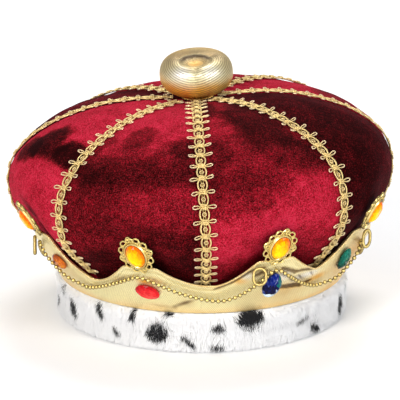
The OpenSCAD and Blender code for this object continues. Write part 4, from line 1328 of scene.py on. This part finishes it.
def fur_outline():
    """Outline of the ring from the inner top edge over the outside to the inner foot, with its normals."""
    ro, ri = FUR_OUTER_ROUND, FUR_INNER_ROUND
    outer, inner = FUR_OUTER_R - ro, FUR_INNER_R + ri
    return np.concatenate([
        corner(inner, FUR_H - ri, ri, 180, 90, TOP_POINTS),
        corner(outer, FUR_H - ro, ro, 90, 0, OUTER_POINTS), corner(outer, ro, ro, 0, -90, OUTER_POINTS),
        corner(inner, ri, ri, 270, 180, TOP_POINTS),
    ])


def fleck_share(az, z, ragged):
    """1 where the fur is black."""
    dark = np.zeros(np.shape(az))
    for at, height, wide, tall, tilt in FLECKS:
        x, y = arc(az, at, FUR_OUTER_R), z - height
        c, s = math.cos(math.radians(tilt)), math.sin(math.radians(tilt))
        far = np.hypot((x * c + y * s) / wide, (-x * s + y * c) / tall)
        dark = np.maximum(dark, clamp01((1.05 - far + 0.28 * ragged) / 0.12))
    return dark


def crease_share(az, z, wide):
    """1 along the parted line of the fur."""
    total = np.zeros(np.shape(az))
    for start, end in zip(FUR_CREASE, FUR_CREASE[1:]):
        far, _ = from_line(az, z, start, end, FUR_OUTER_R)
        total = np.maximum(total, bell(far / wide))
    return total


def make_fur_base(material):
    az, line = np.meshgrid(np.arange(FUR_COLS) * FULL / FUR_COLS, np.arange(len(fur_outline())))
    r, z, nr, nz = (fur_outline()[line, i] for i in range(4))
    flat, crease = polar(r, az, z), crease_share(az, z, CREASE_WIDE)
    sink = FUR_SINK + 0.5 * soft_noise(flat, 14.0, 4.0) + 1.4 * crease
    sink = sink * (nz < 0.7) * (z > 1.0)
    points = polar(r - sink * nr, az, z - sink * nz)
    skin = grid_faces(*az.shape, wrap_rows=True, wrap_cols=True)[:, ::-1]
    obj = make_mesh("fur_ring", points.reshape(-1, 3), [skin], [material])
    dark = fleck_share(az, z, soft_noise(flat, 4.0, 1.0))
    # The first tone is the black flecks, the second painted shade along the crease
    set_tone(obj, (np.stack([dark, 0.8 * crease], -1) * (nr > 0.05)[..., None]).reshape(-1, 2))
    set_uv(obj, np.stack([az * 1.8, z], -1).reshape(-1, 2))
    dress(obj, "ermine", "fur_trim")


def hair_roots(rng):
    """Azimuth, height, root and outward direction of each strand, from the top edge to the foot."""
    line = fur_outline()
    run = run_along(line[:, :2])
    s = rng.uniform(run[TOP_POINTS], run[TOP_POINTS + 2 * OUTER_POINTS - 1], HAIRS)
    az = rng.uniform(0, FULL, HAIRS)
    r, z, nr, nz = (np.interp(s, run, values) for values in line.T)
    return az, z, polar(r - FUR_SINK * nr, az, z - FUR_SINK * nz), polar(nr, az, nz)


def hair_blades(az, z, root, out, crease, rng):
    """Five corners of each strand: a flat blade that bends down along the ring."""
    sway = soft_noise(root, 9.0, 2.0) * 0.9 + rng.normal(0, 0.22, HAIRS)
    down = unit(unit(out * out[:, 2:] - UP) + polar(1.0, az + 90, 0.0) * sway[:, None])
    half = 0.5 * HAIR_MM * rng.uniform(0.6, 1.15, HAIRS)[:, None]
    lift = mix(0.32, 0.12, clamp01(1 - z / 6))[:, None] * rng.uniform(0.6, 1.3, HAIRS)[:, None]
    lift = lift * (1 - 0.6 * crease)
    middle = root + half * unit(down + out * lift * 2.2)
    tip = middle + half * unit(down + out * lift * 0.5)
    width = HAIR_W * rng.uniform(0.7, 1.2, HAIRS)[:, None]
    blade = width * (unit(np.cross(down, out)) + 0.4 * out * rng.normal(0, 0.5, HAIRS)[:, None])
    points = np.stack([root - blade / 2, root + blade / 2, middle - 0.4 * blade,
                       middle + 0.4 * blade, tip], 1)
    points[..., 2] = np.clip(points[..., 2], 0.05, FUR_H + 0.2)
    return points


def make_fur_hairs(material, rng):
    az, z, root, out = hair_roots(rng)
    crease = crease_share(az, z, HAIR_CREASE_WIDE)[:, None]
    points = hair_blades(az, z, root, out, crease, rng)
    ragged = soft_noise(root, 4.0, 1.0) + rng.normal(0, 0.40, HAIRS)
    stray = rng.normal(0, 1.0, HAIRS)
    tone = np.zeros((HAIRS, 5, 3))
    for corners, share in STRAND:
        height = mix(points[:, 0, 2], points[:, 4, 2], share)
        tone[:, corners, 0] = fleck_share(az, height + stray, ragged)[:, None] > 0.5
    # Painted shade along the crease, fading towards the tips
    tone[..., 1] = 0.5 * crease * [1, 1, 0.5, 0.5, 0.1]
    start = np.arange(HAIRS)[:, None] * 5
    pile = Pile()
    pile.add(points.reshape(-1, 3), start + [0, 1, 3, 2], start + [2, 3, 4], tone.reshape(-1, 3))
    obj = pile.build("fur_hairs", material)
    obj.data.normals_split_custom_set_from_vertices(np.repeat(out, 5, axis=0).tolist())
    dress(obj, "ermine")


# Stage, lights and camera

FLOOR_HALF = 6000.0
# Lights: place in m, size in m, power in W, colour
LIGHTS = {
    "key": ((-1.5, -2.6, 1.7), 1.2, 90.0, (1.0, 0.98, 0.95)),
    "fill": ((2.3, -2.0, 1.5), 1.3, 52.0, (0.96, 0.98, 1.0)),
    "top": ((0.3, 1.2, 2.4), 1.4, 34.0, (1.0, 1.0, 1.0)),
}
AIM = Vector((0, 0, 0.08))
WORLD = (0.92, 0.93, 0.95)
WORLD_POWER = 0.52


def make_stage():
    s = Shader("pale_floor", Roughness=0.9, Specular_IOR_Level=0.05)
    material = s.feed(Base_Color=s.mix(s.noise(60), (0.93, 0.93, 0.93), (0.90, 0.90, 0.90)))
    corners = FLOOR_HALF * np.array([(-1, -1, 0), (1, -1, 0), (1, 1, 0), (-1, 1, 0)])
    make_mesh("floor", corners, [np.array([[0, 1, 2, 3]])], [material])


def make_lights():
    for name, (place, size, power, colour) in LIGHTS.items():
        light = bpy.data.lights.new(name, "AREA")
        light.shape = "DISK"
        light.size, light.energy, light.color = size, power, colour
        obj = new_object(name, light)
        obj.location = place
        obj.rotation_euler = (AIM - Vector(place)).to_track_quat("-Z", "Y").to_euler()
    world = bpy.data.worlds.new("studio")
    world.use_nodes = True
    back = world.node_tree.nodes["Background"]
    back.inputs["Color"].default_value = (*WORLD, 1.0)
    back.inputs["Strength"].default_value = WORLD_POWER
    bpy.context.scene.world = world


def make_camera():
    up = math.radians(CAM_UP)
    target = Vector(CAM_TARGET)
    place = target + Vector((0, -CAM_DIST * math.cos(up), CAM_DIST * math.sin(up)))
    camera = bpy.data.cameras.new("camera")
    camera.lens = CAM_LENS
    camera.sensor_width = CAM_SENSOR
    camera.clip_start, camera.clip_end = 0.1, 50.0
    obj = new_object("camera", camera)
    obj.location = place * MM
    obj.rotation_euler = (target - place).to_track_quat("-Z", "Y").to_euler()
    bpy.context.scene.camera = obj


# The crown

rng = np.random.default_rng(SEED)
bpy.context.scene.view_settings.view_transform = "Standard"
make_camera()
make_stage()
make_lights()

velvet, velvet_back = velvet_material(), velvet_back_material()
lame = lame_material("gold_lame", (1.25, 32, 0.5), (1.25, -38, 0.5))
ribbed_lame = lame_material("ribbed_lame", (RIB_PITCH, 90, 0.85), (0.8, 20, 0.15), 0.5, 0.7)
gimp = gimp_material()
gilt = gilt_material("gilt_filigree", (0.74, 0.50, 0.11), (1.0, 0.85, 0.38), 0.22, 2.0)
chain_gilt = gilt_material("gilt_chain", (0.52, 0.36, 0.08), (1.0, 0.80, 0.34), 0.25, 1.3)
stones = {name: stone_material(f"{name}_glow", *colours) for name, colours in STONE_COLOURS.items()}
fur = fur_material()

for gore in range(SEAMS):
    make_gore(gore, velvet, velvet_back)
for seam in range(SEAMS):
    make_braid(seam, gimp, rng)
make_button(ribbed_lame)
make_band(lame)
make_edge_stitches(lame)
make_settings(gilt)
make_stones(stones, rng)
make_chain(chain_gilt)
make_rings(chain_gilt)
make_fur_base(fur)
make_fur_hairs(fur, rng)
